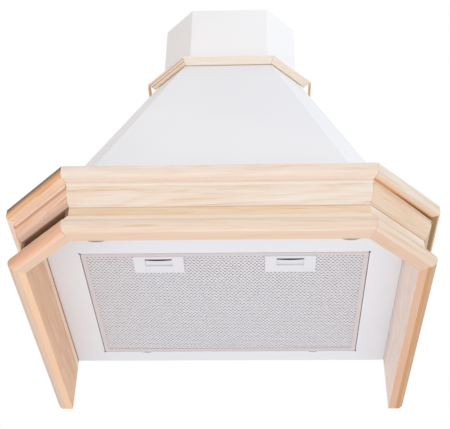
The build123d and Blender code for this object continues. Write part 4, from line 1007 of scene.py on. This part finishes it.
class HOOD_OT_stage(bpy.types.Operator):
    """Pale floor, soft studio light and the camera"""
    bl_idname = "hood.stage"
    bl_label = "Stage"

    def execute(self, context):
        s = settings("hood_stage")
        # floor: matt studio vinyl, faintly mottled
        mesh = bpy.data.meshes.new("studio_floor")
        r, z = FLOOR_REACH, s.floor_level
        mesh.from_pydata([(-r, -r, z), (r, -r, z), (r, r, z), (-r, r, z)], [], [(0, 1, 2, 3)])
        floor = link_object("studio_floor", mesh)
        vinyl, tree, place = new_material("matt_studio_vinyl")
        mottle = add_node(tree, "TexNoise", inputs={"Vector": place, "Scale": per(166.7),
                                                    "Detail": 2.0})
        tone = add_node(tree, "ValToRGB", {"stops": [(0.3, linear("#F3F3F2")),
                                                     (0.7, linear("#F7F7F6"))]}, {"Fac": mottle})
        coat(tree, Base_Color=tone, Roughness=0.9)
        dress(floor, vinyl)

        # world: a light tent, cooler on the right and warmer and dimmer on the left. The camera,
        # reflections and glass see the plain backdrop instead
        world = bpy.data.worlds.new("light_tent")
        world.use_nodes = True
        context.scene.world = world
        tree = world.node_tree
        way = add_node(tree, "TexCoord", output="Generated")
        across = add_node(tree, "SeparateXYZ", inputs={0: way})
        side = add_node(tree, "Math", {"operation": "MULTIPLY_ADD"}, {0: across, 1: 0.5, 2: 0.5})
        tent = add_node(tree, "ValToRGB", {"stops": [(0.10, (0.62, 0.52, 0.46, 1)),
                                                     (0.45, (0.78, 0.77, 0.78, 1)),
                                                     (0.95, (0.86, 0.87, 0.90, 1))]},
                        {"Fac": side})
        seen = 0.0
        for ray in ("Is Camera Ray", "Is Glossy Ray", "Is Transmission Ray"):
            seen = add_node(tree, "Math", {"operation": "MAXIMUM"},
                            {0: seen, 1: add_node(tree, "LightPath", output=ray)})
        light = add_node(tree, "Mix", COLOURS, {0: seen, 6: tent, 7: (*s.backdrop, 1.0)}, 2)
        set_inputs(tree, tree.nodes["Background"], {"Color": light, "Strength": 1.0})

        # soft boxes: one in front on the right, one low in front, one on the floor beneath
        for name, spot, aim, size, power, tint in LAMPS:
            lamp = bpy.data.lights.new(name, "AREA")
            lamp.shape = "DISK"
            lamp.size = size
            lamp.energy = power
            lamp.color = tint
            back = np.subtract(spot, aim) / np.linalg.norm(np.subtract(spot, aim))
            right = np.cross(UP, back)
            right /= np.linalg.norm(right)
            link_object(name, lamp).matrix_world = standing(right, np.cross(back, right), back,
                                                            spot)

        # camera: the line of sight from pitch and yaw, then rolled about it
        pitch, yaw, roll = s.camera_pitch, s.camera_yaw, s.camera_roll
        sight = np.array([sin(yaw) * cos(pitch), cos(yaw) * cos(pitch), sin(pitch)])
        right = np.array([cos(yaw), -sin(yaw), 0.0])
        up = np.cross(right, sight)
        right, up = right * cos(roll) + up * sin(roll), up * cos(roll) - right * sin(roll)
        lens = bpy.data.cameras.new("studio_camera")
        lens.lens = s.focal
        lens.sensor_width = 36.0
        lens.shift_x, lens.shift_y = CAMERA_SHIFT
        lens.clip_end = 50.0
        camera = link_object("studio_camera", lens)
        camera.matrix_world = standing(right, up, -sight, CAMERA_SPOT)
        context.scene.camera = camera
        context.scene.view_settings.view_transform = "Standard"
        return {"FINISHED"}


class HOOD_PT_looks(bpy.types.Panel):
    """Lists the steps that build the hood's looks"""
    bl_idname = "HOOD_PT_looks"
    bl_label = "Range Hood"
    bl_space_type = "VIEW_3D"
    bl_region_type = "UI"
    bl_category = "Range Hood"

    def draw(self, context):
        for operator in OPERATORS:
            self.layout.operator(operator.bl_idname)
        for group in SETTINGS:
            box = self.layout.box()
            box.label(text=group)
            holder = getattr(context.scene, group)
            for key in holder.bl_rna.properties.keys():
                if key not in ("rna_type", "name"):
                    box.prop(holder, key)


OPERATORS = (HOOD_OT_frame_mouldings, HOOD_OT_side_boards, HOOD_OT_chimney_trim,
             HOOD_OT_steel_skins, HOOD_OT_filter_sheets, HOOD_OT_finishes, HOOD_OT_stage)
SETTINGS = {"hood_plan": HoodPlanSettings, "hood_steel": HoodSteelSettings,
            "hood_timber": HoodTimberSettings, "hood_filter": HoodFilterSettings,
            "hood_stage": HoodStageSettings}


def register():
    """Registers the settings, the operators and the panel."""
    for group, kind in SETTINGS.items():
        bpy.utils.register_class(kind)
        setattr(bpy.types.Scene, group, bpy.props.PointerProperty(type=kind))
    for kind in (*OPERATORS, HOOD_PT_looks):
        bpy.utils.register_class(kind)


def unregister():
    """Takes all of them away again."""
    for kind in reversed((*OPERATORS, HOOD_PT_looks)):
        bpy.utils.unregister_class(kind)
    for group, kind in SETTINGS.items():
        delattr(bpy.types.Scene, group)
        bpy.utils.unregister_class(kind)


def main():
    """Runs every operator."""
    register()
    for operator in OPERATORS:
        group, name = operator.bl_idname.split(".")
        getattr(getattr(bpy.ops, group), name)()


if __name__ == "__main__":
    main()
